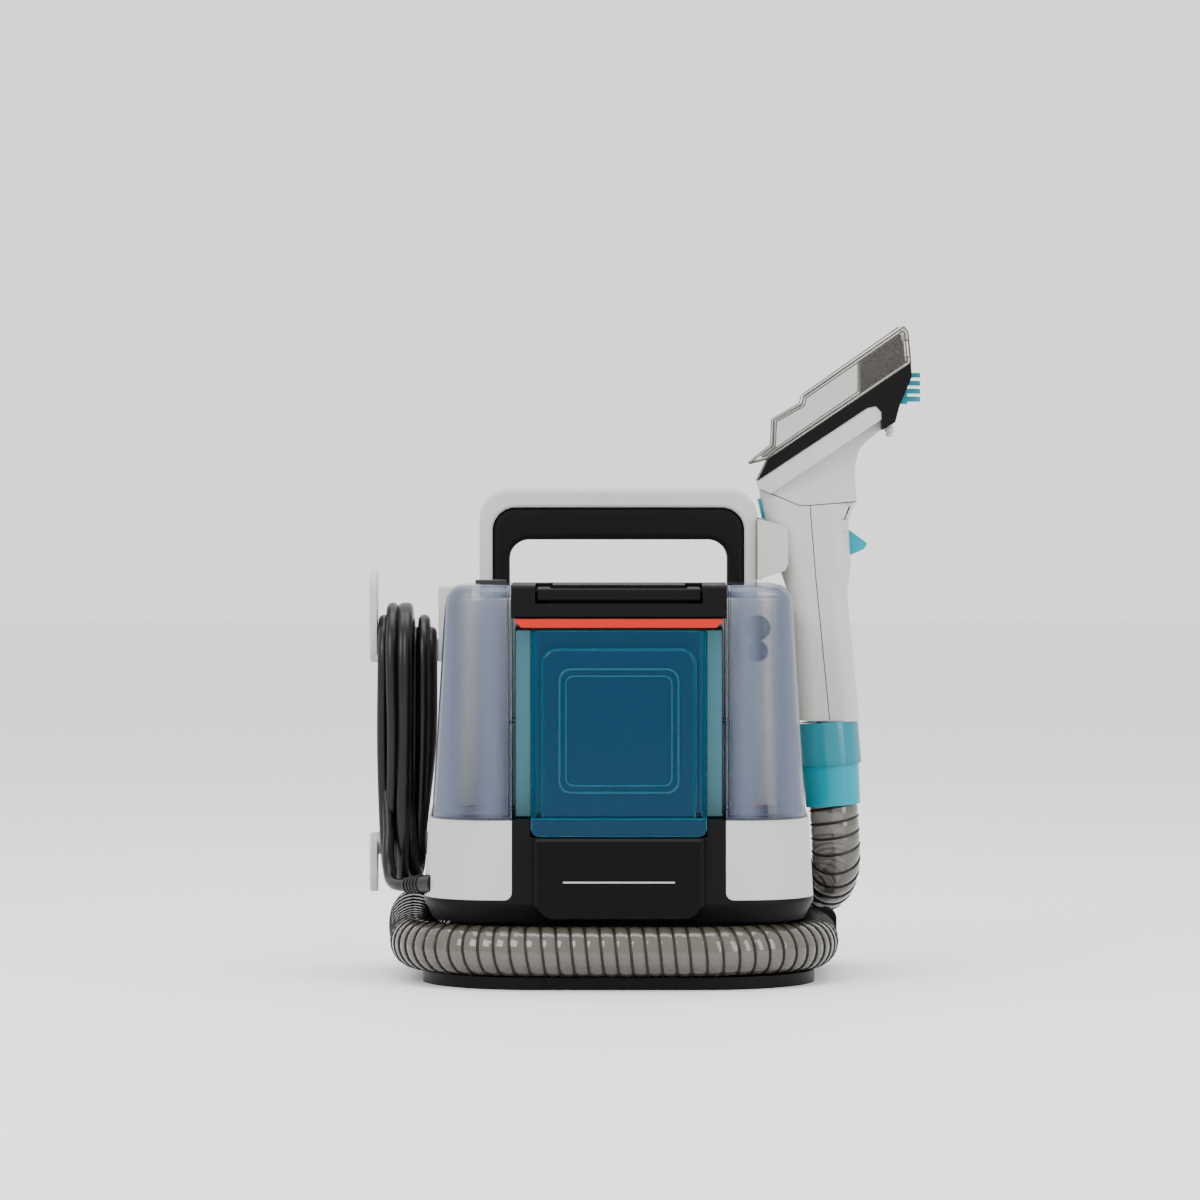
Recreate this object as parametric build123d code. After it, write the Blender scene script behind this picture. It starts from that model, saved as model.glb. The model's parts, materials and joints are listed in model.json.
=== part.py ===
from build123d import *
import math
import os

# Portable spot extractor. Millimetres, +Z up, +X towards the hand tool, -Y towards the front.
# The origin is the centre of the base's flat underside.

# ---------------------------------------------------------------- base
body_width = 249.6          # widest line of the base housing
body_depth = 200.0
body_corner = 48.0
foot_margin = 6.0           # how far the foot shows beyond half the housing's depth
foot_height = 8.0
foot_corner = 72.0
neck_inset = 16.0           # the waist that the hose is wound round
neck_corner = 70.0
neck_top = 42.0
band_height = 12.0          # flared band between the waist and the side panels
band_inset = 6.0
deck_height = 107.0         # top of the base housing
side_lean = 3.4             # degrees
wall = 3.0
panel_skin = 3.0
panel_inner_edge = 68.0
panel_bottom = 56.5
panel_corner = 5.0
pad_radius = 11.0
pad_depth = 3.0
pad_inset_x = 42.0          # a pad's centre in from the housing's side and from its front or back
pad_inset_y = 34.0
screw_head_radius = 4.0
screw_head_height = 2.5
screw_shank_radius = 1.9
screw_sink = 1.0            # the foot's screw heads lie this far above the floor
foot_screw_end = 14.0
foot_screw_inset_x = 84.0
foot_screw_inset_y = 44.0
boss_radius = 5.0
web_half = 1.5              # half the thickness of the webs that hold bosses
foot_spread = 2.4           # how much wider the foot is than the housing
neck_drop_in = 1.2          # the waist is set in this much more at front and back
badge_half_width = 54.0
badge_bottom = 43.0
badge_top = 96.0
badge_corner = 13.0
badge_proud = 4.0
badge_depth = 8.0
badge_bevel = 2.0
badge_line_length = 72.0
badge_line_height = 1.0
badge_line_depth = 1.2
badge_line_z = 68.0

# ---------------------------------------------------------------- tanks
tank_gap = 1.0              # between the housing's deck and the clean tank
tank_height = 148.0
tank_half_width = 119.5
tank_front = 97.0
tank_back = 4.0
tank_corner = 38.0
tank_lean = 3.5
tank_dome = 12.0
tank_wall = 2.5
bay_half_width = 68.5       # bay in the clean tank that holds the dirty tank
bay_back = 26.0
bridge_height = 60.0        # low bridge that joins the clean tank's two wings
slide_gap = 0.6
dirty_side_gap = 2.5        # the dirty tank's flanges clear the sides of the bay by this
dirty_flange_step = 10.5    # the tank's front is narrower than its flanges by this each side
dirty_panel_step = 6.5      # and its raised panel is narrower again
dirty_panel_corner = 9.5
dirty_flange_half = bay_half_width - dirty_side_gap
dirty_front_half = dirty_flange_half - dirty_flange_step
dirty_panel_half = dirty_front_half - dirty_panel_step
dirty_drop = 10.0           # the dirty tank's foot hangs this far below the deck
dirty_height = 120.0        # from the deck to its rim
dirty_front = 92.0
dirty_panel_proud = 5.0
lip_proud = 6.5
lid_thickness = 1.7
lid_rim = 6.0
block_height = 21.0
block_front = 91.0
release_height = 5.4
release_half_width = bay_half_width - dirty_side_gap
bar_gap = 0.3               # under the top block
release_slope = 4.0
bail_margin = 16.8
bail_half_width = bay_half_width - bail_margin
bail_bar = 8.0
bail_reach = 40.0
bail_clearance = 1.5
bail_pin_radius = 2.5
bail_pin_length = 5.0
pin_clearance = 0.1
fill_hole_radius = 7.0
fill_x = 82.0
fill_y = 42.0
valve_x = 88.0
valve_y = 50.0
valve_radius = 8.0
valve_bore = 5.0
socket_depth = 11.0
seat_drop = 3.5             # the valve seat reaches this far below the clean tank
seat_rise = 6.0
poppet_radius = 2.4
poppet_bore = 2.6

# ---------------------------------------------------------------- tower and handle
tower_half_width = 112.0
tower_front = -1.0
tower_back = 90.0
tower_corner = 30.0
tower_lean = 2.5
tower_height = 137.0
tower_split = 44.0
tower_screw_low = 18.0      # heights of the tower's screws above the deck
tower_screw_high = 96.0
tower_screw_inset = 46.0
tower_screw_sink = 8.0
tower_screw_bite = 12.0
tower_head_radius = 3.4
tower_head_height = 2.2
tower_shank_radius = 1.6
handle_y = 45.0
handle_depth = 36.0
handle_half_width = 90.5
handle_rise = 71.0          # top of the handle above the tower
handle_corner = 19.0
handle_skin_side = 8.5
handle_skin_top = 12.0
grip_side = 11.0
grip_top = 21.0
gauge_inset = 22.0          # plate behind the clean tank's right wing
gauge_drop = 24.0
gauge_width = 23.4
gauge_height = 45.5
gauge_corner = 10.0
gauge_wells = [(18.5, 8.4), (33.4, 7.0)]    # how far below the tower's top, and radius
vent_low = 40.0             # lowest vent above the deck
vent_count = 7
vent_pitch = 9.0
vent_height = 4.0
vent_half_width = 45.0
button_x = 62.0
button_radius = 9.0
button_clearance = 0.3
button_travel = 3.0

# ---------------------------------------------------------------- vacuum and pump
motor_y = 50.0
motor_radius = 27.0
motor_height = 56.0
motor_bottom = 45.0         # above the deck
case_skin = 2.5
fan_height = 30.0
blade_total = 9
blade_slant = 25.0          # degrees
shaft_radius = 4.0
shaft_clearance = 0.05
duct_radius = 7.5
duct_bore = 6.0
duct_x = 84.0
duct_y = 10.5
port_height = 77.0          # centre of the dirty tank's ports above the deck
inlet_x = 5.9
inlet_radius = 9.0
outlet_x = -9.6
outlet_radius = 6.0
port_gap = 0.4
elbow_radius = 16.5
elbow_bore = 10.5
pump_x = -50.0
pump_y = 30.0
pump_half_length = 20.0
pump_half_width = 16.0
pump_height = 28.0
pump_motor_radius = 13.0
pump_motor_length = 25.0
pump_spout_length = 6.0
feed_radius = 3.0
feed_rise = 20.0

# ---------------------------------------------------------------- cord and hooks
cord_radius = 3.9
plug_relief = 12.0
plug_corner = 6.0
pin_spacing = 12.7
pin_width = 6.4
pin_thickness = 1.5
pin_length = 17.0
relief_length = 30.0
relief_root = 6.5
relief_tip = 4.6
hank_side = 118.3           # the hank stays outside this line above the housing
hank_step_low = 4.0
hank_clearance = 0.8
hank_step_high = 43.0
hook_y = 30.0
hook_radius = 14.0
hook_wall = 4.0
hook_low_z = 90.7
hook_high_z = 203.3
hook_paddle_x = 157.0
hook_paddle_thickness = 5.0
hook_depth = 32.0
hank_layers = 3.0
hank_gap = 0.3
cord_lead_route = [(-136, -45, 62), (-142.5, -37, 61), (-148, -23, 64),
                   (-149.5, -9, 80), (-148, -3.5, 98)]
cord_tail_route = [(-141, 64, 196), (-139.5, 75, 180), (-137.5, 82, 159), (-137.5, 82, 138)]
plug_height = 34.0
plug_width = 26.0
plug_depth = 20.0

# ---------------------------------------------------------------- hose
hose_radius = 16.0
hose_bore = 13.4
hose_wrap_route = [
    (126.2, 34, 24.3), (126.2, 2, 24.3), (125.2, -44.4, 24.3), (104.1, -81.6, 24.3),
    (66.9, -103, 24.3), (22, -105, 24.3), (-25, -105.2, 24.3), (-72, -103, 24.3),
    (-110.5, -81.6, 24.3), (-131, -44.4, 24.3), (-131.5, -5, 25), (-134, 34, 29),
    (-134, 72, 36), (-118, 101, 40), (-88, 119, 42), (-50, 122, 43), (-6, 120.5, 42),
    (38, 122, 42.5), (78, 119.5, 41), (114, 107, 41), (137, 82, 50), (142.5, 57, 63)]
hose_riser_route = [(142.83, 45, 82.1), (140.7, 45, 108)]

# ---------------------------------------------------------------- hand tool
wand_x = 140.7              # centre of the cuff's lower end
wand_y = 45.0
wand_z = 108.0
wand_tilt = 4.7             # degrees, its top leans towards the body
wand_depth = 36.0
wand_round = 12.0
wand_wall = 2.6
cuff_height = 26.6
cuff_low_radius = 17.9
cuff_high_radius = 18.9
collar_height = 28.6
collar_radius = 20.8
collar_bore = 17.0
fan_narrow = 20.0
fan_wide = 45.0
fan_length = 128.0
fan_overrun = 40.0          # the fan-shaped cutter runs this far past both ends of the head
frame_wall = 4.0
window_wall = 2.0
head_clearance = 0.3
brush_back = 41.5
brush_bar_depth = 5.0
brush_low = 262.5
brush_height = 21.0
brush_inset = 8.0
blade_count = 4
blade_pitch = 5.2
blade_thickness = 3.0
blade_length = 8.4
tip_reach = 36.4
tip_bottom = 241.0
tip_top = 255.0
tip_radius = 2.2
tip_collar_radius = 3.2

# Side outlines of the hand tool, measured from the cuff's lower centre.
grip_outline = [(-23.05, 55.8), (-28.25, 134.4), (-34.75, 153.3), (-45.15, 186.4), (-48.9, 207.0),
                (-23.05, 196.2), (-15.9, 196.2), (14.65, 198.8), (9.5, 186.4), (11.1, 156.6),
                (8.8, 139.0), (16.86, 55.2)]
grip_split = [(-15.9, 230.0), (-15.9, 196.2), (-12.0, 148.1), (-2.9, 52.5), (-60.0, 52.5), (-70.0, 230.0)]
head_outline = [(-48.9, 207.3), (-50.35, 212.45), (20.5, 259.9), (26.0, 261.2), (29.6, 257.3),
                (30.25, 245.6), (21.15, 238.45), (15.95, 232.6), (13.35, 222.2), (13.35, 211.8),
                (14.65, 199.1), (-15.9, 196.5), (-23.05, 196.5)]
frame_outline = [(-50.35, 212.45), (-43.2, 226.75), (48.45, 289.15), (49.1, 280.05), (41.3, 261.2),
                 (38.7, 250.8), (30.25, 245.6), (29.6, 257.3), (26.0, 261.2), (20.5, 259.9)]
window_outline = [(-43.2, 226.75), (-55.55, 223.5), (-40.6, 235.5), (-39.95, 252.1), (-21.75, 262.5),
                  (-20.45, 267.7), (43.9, 312.55), (46.5, 309.3), (48.45, 289.15)]
trigger_outline = [(-2.5, 189.0), (6.3, 183.0), (22.2, 171.2), (19.5, 167.5), (9.0, 163.0), (-0.4, 160.5)]
trigger_pivot = (0.8, 183.0)
trigger_half = 6.5
release_low = 187.5
release_high = 200.5
release_travel = 2.5


def rounded_block(width, depth, corner, bottom, top, lean=0.0, y=0.0):
    """Upright block with a rounded plan; its sides lean in by `lean` degrees."""
    return extrude(Pos(0, y, bottom) * RectangleRounded(width, depth, corner), amount=top - bottom,
                   taper=lean)


def box(x0, x1, y0, y1, z0, z1):
    """Plain box between two corners."""
    return Pos((x0 + x1) / 2, (y0 + y1) / 2, (z0 + z1) / 2) * Box(x1 - x0, y1 - y0, z1 - z0)


def front_plate(face, front, back):
    """Face drawn in X and Z, made solid from the Y of its front to the Y of its back."""
    return Pos(0, back, 0) * extrude(Plane.XZ * face, amount=back - front)


def side_prism(points, depth, inset=0.0):
    """Outline of the hand tool made solid, centred on the tool's own plane."""
    face = make_face(Polyline(*points, close=True))
    if inset:
        face = offset(face, amount=-inset, kind=Kind.INTERSECTION)
    return Pos(wand_x, wand_y, wand_z) * extrude(Plane.XZ * face, amount=depth / 2, both=True)


def rod(radius, start, end):
    """Round bar from one point to another."""
    axis = Vector(end) - Vector(start)
    return extrude(Plane(origin=start, z_dir=axis) * Circle(radius), amount=axis.length)


def post(radius, x, y, low, high):
    """Upright round bar."""
    return rod(radius, (x, y, low), (x, y, high))


def peg(radius, x, z, front, back):
    """Round bar that runs from front to back."""
    return rod(radius, (x, front, z), (x, back, z))


def ring(outer, inner, start, end):
    """Round tube from one point to another."""
    return rod(outer, start, end) - rod(inner, start, end)


def corner_radii(points):
    """The largest neighbouring arcs that a route's runs leave room for."""
    radii = []
    for before, here, after in zip(points, points[1:], points[2:]):
        run_in = Vector(here) - Vector(before)
        run_out = Vector(after) - Vector(here)
        turn = math.radians(run_in.get_angle(run_out))
        radii.append(0.45 * min(run_in.length, run_out.length) / math.tan(turn / 2))
    return radii


def tube_along(points, radii, radius, bore=0.0):
    """Tube along straight runs joined by tangent arcs."""
    path = FilletPolyline(*points, radius=radii)
    start = Plane(origin=path @ 0, z_dir=path % 0)
    solid = sweep(start * Circle(radius), path=path)
    expected = math.pi * radius ** 2 * path.length
    print(f"tube volume against section times length: {solid.volume / expected:.4f}")
    if bore:
        solid -= sweep(start * Circle(bore), path=path)
    return solid


# ---------------------------------------------------------------- shared lines
half_width = body_width / 2
half_depth = body_depth / 2
band_top = neck_top + band_height
tank_bottom = deck_height + tank_gap
tank_top = tank_bottom + tank_height
dirty_top = deck_height + dirty_height
block_bottom = tank_top - block_height
tower_top = deck_height + tower_height
port_z = deck_height + port_height
tank_depth = tank_front - tank_back
tank_y = -(tank_front + tank_back) / 2
gland_tip = Vector(cord_lead_route[0])
badge_front = -half_depth - badge_proud


def housing_envelope(inset=0.0):
    """Outer form of the housing above its flared band, set in by `inset`."""
    return rounded_block(body_width - 2 * inset, body_depth - 2 * inset, body_corner - inset,
                         band_top, deck_height, side_lean)


def tower_envelope(inset=0.0):
    """Outer form of the rear tower, set in by `inset`."""
    front_overrun = tower_corner
    depth = tower_back - tower_front + front_overrun
    block = rounded_block(2 * (tower_half_width - inset), depth - 2 * inset, tower_corner - inset,
                          deck_height, tower_top - inset, tower_lean,
                          y=(tower_back + tower_front - front_overrun) / 2)
    return block - box(-body_width, body_width, -body_depth, tower_front + inset, 0, 2 * tower_top)


def make_valve_socket():
    """Cup under the deck that the clean tank's valve drops into."""
    centre = (valve_x, -valve_y)
    rim, low = deck_height - wall, deck_height - socket_depth
    outer = valve_radius + wall + 1
    socket = ring(outer, valve_radius + slide_gap, (*centre, low), (*centre, rim))
    return socket + rod(outer, (*centre, low - wall), (*centre, low))


def make_base():
    """Foot, housing, side panels and badge."""
    parts = {}
    foot = rounded_block(body_width + foot_spread, body_depth + 2 * foot_margin, foot_corner, 0, foot_height)
    pads = []
    screws = []
    screw_places = []
    for sx in (-1, 1):
        for sy in (-1, 1):
            pad_x, pad_y = sx * (half_width - pad_inset_x), sy * (half_depth - pad_inset_y)
            screw_x, screw_y = sx * (half_width - foot_screw_inset_x), sy * (half_depth - foot_screw_inset_y)
            pads.append(rod(pad_radius, (pad_x, pad_y, 0), (pad_x, pad_y, pad_depth)))
            seat_z = screw_sink + screw_head_height
            screws.append(post(screw_head_radius, screw_x, screw_y, screw_sink, seat_z)
                          + post(screw_shank_radius, screw_x, screw_y, seat_z, foot_screw_end))
            foot -= rod(screw_head_radius, (screw_x, screw_y, -1), (screw_x, screw_y, screw_sink))
            screw_places.append((screw_x, screw_y))
    for piece in pads + screws:
        foot -= piece

    neck_w = 2 * (half_width - neck_inset)
    neck_d = body_depth - 2 * (neck_inset + neck_drop_in)
    neck = rounded_block(neck_w, neck_d, neck_corner, foot_height, neck_top)
    band_lean = -math.degrees(math.atan(band_inset / band_height))
    band = rounded_block(body_width - 2 * band_inset, body_depth - 2 * band_inset, body_corner - band_inset,
                         neck_top, band_top, band_lean)
    outer = neck + band + housing_envelope()
    skin = panel_skin + wall
    cavity = rounded_block(neck_w - 2 * wall, neck_d - 2 * wall, neck_corner - wall, foot_height,
                           neck_top + wall)
    cavity += rounded_block(body_width - 2 * skin - 2 * wall, body_depth - 2 * skin - 2 * wall,
                            body_corner - skin - wall, neck_top + wall, deck_height - wall, side_lean)
    recess_back = dirty_front - lip_proud
    cavity -= box(-dirty_front_half - 2 * wall, dirty_front_half + 2 * wall, -body_depth,
                  -recess_back + wall + 3,
                  deck_height - dirty_drop - wall - slide_gap, deck_height)
    housing = outer - cavity
    housing -= box(-dirty_front_half - slide_gap, dirty_front_half + slide_gap, -body_depth,
                   -recess_back + slide_gap + 3, deck_height - dirty_drop - slide_gap, deck_height + 1)

    skin_shell = housing_envelope() - housing_envelope(panel_skin)
    zone_width = body_width
    for side, sign in (("left", -1), ("right", 1)):
        zone_x = sign * (panel_inner_edge + zone_width / 2)
        zone_z = panel_bottom + zone_width / 2
        zone = front_plate(Pos(zone_x, zone_z) * RectangleRounded(zone_width, zone_width, panel_corner),
                           -body_depth, body_depth)
        parts[f"side_panel_{side}"] = skin_shell & zone
        housing -= parts[f"side_panel_{side}"]

    badge_mid = (badge_bottom + badge_top) / 2
    badge_face = Pos(0, badge_mid) * RectangleRounded(2 * badge_half_width, badge_top - badge_bottom,
                                                      badge_corner)
    badge_face += Pos(0, badge_top - badge_corner) * Rectangle(2 * badge_half_width, 2 * badge_corner)
    badge = front_plate(badge_face, badge_front, badge_front + badge_depth)
    badge = chamfer(badge.faces().sort_by(Axis.Y)[0].edges(), badge_bevel)
    line_groove = box(-badge_line_length / 2, badge_line_length / 2, badge_front - 1,
                      badge_front + badge_line_depth,
                      badge_line_z - badge_line_height / 2, badge_line_z + badge_line_height / 2)
    housing -= badge
    badge -= line_groove

    # ways through the deck and the waist
    housing -= rod(duct_radius, (duct_x, wand_y, neck_top), (duct_x, wand_y, deck_height + 1))
    housing -= rod(valve_radius + slide_gap, (valve_x, -valve_y, deck_height - 2 * wall),
                   (valve_x, -valve_y, deck_height + 1))
    housing -= rod(elbow_bore, (duct_x, wand_y, hose_wrap_route[0][2]),
                   (half_width + 10, wand_y, hose_wrap_route[0][2]))
    for boss_x, boss_y in screw_places:
        housing += ring(boss_radius, screw_shank_radius,
                        (boss_x, boss_y, foot_height), (boss_x, boss_y, neck_top + wall))
        housing += box(boss_x - boss_radius, boss_x + boss_radius, boss_y - boss_radius, boss_y + boss_radius,
                       neck_top + wall, neck_top + 2 * wall)
        web_end = math.copysign(half_depth - neck_inset - 2 * wall, boss_y)
        near_edge = boss_y + math.copysign(boss_radius - 0.5, boss_y)
        low, high = sorted((near_edge, web_end + math.copysign(wall, boss_y)))
        housing += box(boss_x - web_half, boss_x + web_half, low, high, foot_height, neck_top + wall)

    parts["base_foot"] = foot
    parts["foot_pads"] = Compound(children=pads)
    parts["base_housing"] = housing + make_valve_socket()
    parts["badge_panel"] = badge
    return parts, screws


def make_tower():
    """Rear tower shells, its button, ports and screws."""
    parts = {}
    shell = tower_envelope() - (tower_envelope(wall) - box(-400, 400, -400, 400, tower_top - wall,
                                                           2 * tower_top))
    shell -= box(-tower_half_width + tower_corner, tower_half_width - tower_corner, tower_front + wall,
                 tower_back - tower_corner, deck_height - 1, deck_height + wall)
    split = box(-body_width, body_width, -body_depth, tower_split, 0, 2 * tower_top)
    front = shell & split
    rear = shell - split

    for index in range(vent_count):
        z = deck_height + vent_low + index * vent_pitch
        slot = front_plate(Pos(0, z) * RectangleRounded(2 * vent_half_width, vent_height,
                                                        vent_height / 2 - 0.1),
                           tower_back - 25, tower_back + 5)
        rear -= slot

    screws = []
    for sx in (-1, 1):
        for z in (deck_height + tower_screw_low, deck_height + tower_screw_high):
            x = sx * (tower_half_width - tower_screw_inset)
            head_y = tower_back - tower_screw_sink
            neck_y = head_y - tower_head_height
            screws.append(rod(tower_head_radius, (x, head_y, z), (x, neck_y, z))
                          + rod(tower_shank_radius, (x, neck_y, z), (x, tower_split - tower_screw_bite, z)))
            rear += rod(boss_radius + 0.5, (x, tower_split, z), (x, tower_back, z)) & tower_envelope()
            rear -= rod(tower_head_radius, (x, neck_y, z), (x, tower_back + 5, z))
            rear -= rod(tower_shank_radius, (x, tower_split, z), (x, head_y, z))
            boss_end = tower_split - tower_screw_bite - 2
            front += ring(boss_radius, tower_shank_radius, (x, boss_end, z), (x, tower_split, z))
            front += box(x - web_half, x + web_half, tower_front + wall - 0.5, boss_end,
                         z - boss_radius, z + boss_radius)

    front -= peg(inlet_radius, inlet_x, port_z, tower_front - 5, tower_front + wall + 1)
    front -= peg(outlet_radius, outlet_x, port_z, tower_front - 5, tower_front + wall + 1)
    seal_front = tower_front - 2.0
    parts["port_seals"] = Compound(children=[
        ring(inlet_radius, duct_bore, (inlet_x, seal_front, port_z), (inlet_x, tower_front + wall, port_z)),
        ring(outlet_radius, outlet_radius - 2,
             (outlet_x, seal_front, port_z), (outlet_x, tower_front + wall, port_z))])

    gauge_face = Pos(tower_half_width - gauge_inset, tower_top - gauge_drop) * RectangleRounded(
        gauge_width, gauge_height, gauge_corner)
    gauge = front_plate(gauge_face, tower_front - 1, tower_front + wall)
    gauge_x = tower_half_width - gauge_inset
    for z, radius in gauge_wells:
        gauge -= peg(radius, gauge_x, tower_top - z, tower_front - 2, tower_front + 1)
    front -= front_plate(gauge_face, tower_front - 1, tower_front + wall + 1)

    hole = rod(button_radius + button_clearance, (button_x, tower_split + 24, tower_top - 20),
               (button_x, tower_split + 24, tower_top + 1))
    rear -= hole
    button = post(button_radius, button_x, tower_split + 24, tower_top - 7, tower_top + 3)
    parts["power_button"] = fillet(button.edges().sort_by(Axis.Z)[-1], 1.5)
    parts["power_switch"] = box(button_x - 9, button_x + 9, tower_split + 15, tower_split + 31,
                                tower_top - 32, tower_top - 7 - button_travel - 0.2)
    rear += box(button_x - 12, button_x + 12, tower_split + 14, tower_split + 32, tower_top - 35,
                tower_top - 32)
    rear += box(button_x - 1.5, button_x + 1.5, tower_split + 32, tower_back - 7, tower_top - 35,
                tower_top - 20)
    parts["tank_gauge_plate"] = gauge
    parts["tower_front"] = front
    parts["tower_rear"] = rear
    return parts, screws


def arch_face(half, top, corner, bottom):
    """Upside-down U outline with rounded upper corners."""
    height = top - bottom + corner
    face = Pos(0, top - height / 2) * RectangleRounded(2 * half, height, corner)
    return face & Pos(0, (top + bottom) / 2) * Rectangle(2 * half, top - bottom)


def make_handle():
    """Carry handle of a hard shell and a soft grip, with the holster on its side."""
    top = tower_top + handle_rise
    y0, y1 = handle_y - handle_depth / 2, handle_y + handle_depth / 2
    mid_half, mid_top = handle_half_width - handle_skin_side, top - handle_skin_top
    mid_corner = handle_corner - 4
    outer = arch_face(handle_half_width, top, handle_corner, tower_top)
    middle = arch_face(mid_half, mid_top, mid_corner, tower_top)
    inner = arch_face(mid_half - grip_side, mid_top - grip_top, mid_corner - 2, tower_top)
    shell = front_plate(outer - middle, y0, y1)
    shell = fillet(shell.edges().group_by(Axis.Y)[0] + shell.edges().group_by(Axis.Y)[-1], 2.5)
    grip = front_plate(middle - inner, y0 + 1, y1 - 1)
    grip = fillet(grip.edges().group_by(Axis.Y)[0] + grip.edges().group_by(Axis.Y)[-1], 4.0)

    cheek_gap = wand_depth / 2 + 0.6
    cheek = 4.0
    x0 = handle_half_width
    z0 = wand_z + 150.0
    plate = box(x0, x0 + 3, wand_y - cheek_gap - cheek, wand_y + cheek_gap + cheek, z0 - 2, z0 + 35)
    outline = make_face(FilletPolyline((x0, z0 - 2), (x0 + 18, z0 + 4), (x0 + 20, z0 + 8), (x0 + 20, z0 + 29),
                                       (x0 + 18, z0 + 33), (x0, z0 + 38), radius=1.0, close=True))
    holster = plate
    for y in (wand_y - cheek_gap - cheek, wand_y + cheek_gap):
        holster += front_plate(outline, y, y + cheek)
    return {"handle_shell": shell, "handle_grip": grip, "wand_holster": holster}


def make_clean_tank():
    """U-shaped clear tank, its top block, lifting bail, fill plug and valve."""
    parts = {}

    def form(inset):
        block = rounded_block(2 * (tank_half_width - inset), tank_depth - 2 * inset, tank_corner - inset,
                              tank_bottom + inset, tank_top - inset, tank_lean, y=tank_y)
        block = fillet(block.faces().sort_by(Axis.Z)[-1].edges(), tank_dome - inset)
        bay = bay_half_width - inset if inset < 0 else bay_half_width + inset
        back = bay_back - inset
        block -= box(-bay, bay, -body_depth, -back, 0, 2 * tank_top)
        return block - box(-bay, bay, -body_depth, body_depth, tank_bottom + bridge_height - inset,
                           2 * tank_top)

    tank = form(0) - form(tank_wall)
    tank -= post(fill_hole_radius, -fill_x, -fill_y, tank_top - 10, tank_top + 1)
    tank -= post(valve_radius, valve_x, -valve_y, tank_bottom - 1, tank_bottom + 2 * tank_wall)
    parts["clean_tank_body"] = tank

    plug = post(fill_hole_radius + 3, -fill_x, -fill_y, tank_top, tank_top + 2)
    plug += post(fill_hole_radius - pin_clearance, -fill_x, -fill_y, tank_top - 5, tank_top)
    parts["fill_plug"] = plug

    seat_low, seat_high = tank_bottom - seat_drop, tank_bottom + seat_rise
    seat = ring(valve_radius, valve_bore, (valve_x, -valve_y, seat_low), (valve_x, -valve_y, seat_high))
    seat += ring(valve_bore, poppet_bore, (valve_x, -valve_y, seat_low), (valve_x, -valve_y, seat_low + 1.5))
    parts["tank_valve_seat"] = seat
    poppet = post(poppet_radius, valve_x, -valve_y, seat_low + 0.3, tank_bottom + 1.5)
    poppet += post(valve_bore - pin_clearance, valve_x, -valve_y, tank_bottom + 1.5, tank_bottom + 7)
    parts["tank_valve_poppet"] = poppet

    block = box(-bay_half_width, bay_half_width, -block_front, -bay_back, block_bottom, tank_top)
    block = chamfer(block.edges().filter_by(Axis.X).group_by(Axis.Y)[0], 1.5)
    bail_z = tank_top - 2 - bail_bar / 2
    bar_front = -block_front + 2
    pivot_y = bar_front + bail_reach
    bail = box(-bail_half_width, bail_half_width, bar_front, bar_front + bail_bar,
               bail_z - bail_bar / 2, bail_z + bail_bar / 2)
    bail = fillet(bail.edges().filter_by(Axis.X), 2.0)
    trench = box(-bail_half_width - bail_clearance, bail_half_width + bail_clearance, -block_front - 1,
                 bar_front + bail_bar + bail_clearance, bail_z - bail_bar / 2 - bail_clearance, tank_top + 1)
    for sign in (-1, 1):
        near, far = sorted((sign * (bail_half_width - bail_bar), sign * bail_half_width))
        arm = box(near, far, bar_front + bail_bar / 2, pivot_y, bail_z - bail_bar / 2, bail_z + bail_bar / 2)
        arm += rod(bail_bar / 2, (near, pivot_y, bail_z), (far, pivot_y, bail_z))
        pin_start, pin_end = sign * (bail_half_width - 1), sign * (bail_half_width + bail_pin_length)
        arm += rod(bail_pin_radius, (pin_start, pivot_y, bail_z), (pin_end, pivot_y, bail_z))
        bail += arm
        trench += box(near - bail_clearance, far + bail_clearance, -block_front - 1,
                      pivot_y + bail_bar / 2 + bail_clearance,
                      bail_z - bail_bar / 2 - bail_clearance, tank_top + 1)
        block -= rod(bail_pin_radius + pin_clearance, (sign * bail_half_width, pivot_y, bail_z),
                     (sign * (bail_half_width + bail_pin_length + 0.5), pivot_y, bail_z))
    parts["tank_top_block"] = block - trench
    parts["tank_carry_handle"] = bail

    half, slope = release_half_width, release_slope
    top, edge, low = -bar_gap, -bar_gap - 1.2, -bar_gap - release_height
    face = make_face(Polyline((-half, top), (half, top), (half, edge), (half - slope, low),
                              (slope - half, low), (-half, edge), close=True))
    parts["red_release_bar"] = front_plate(Pos(0, block_bottom) * face, -block_front - 1.5, -block_front + 8)
    return parts


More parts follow.
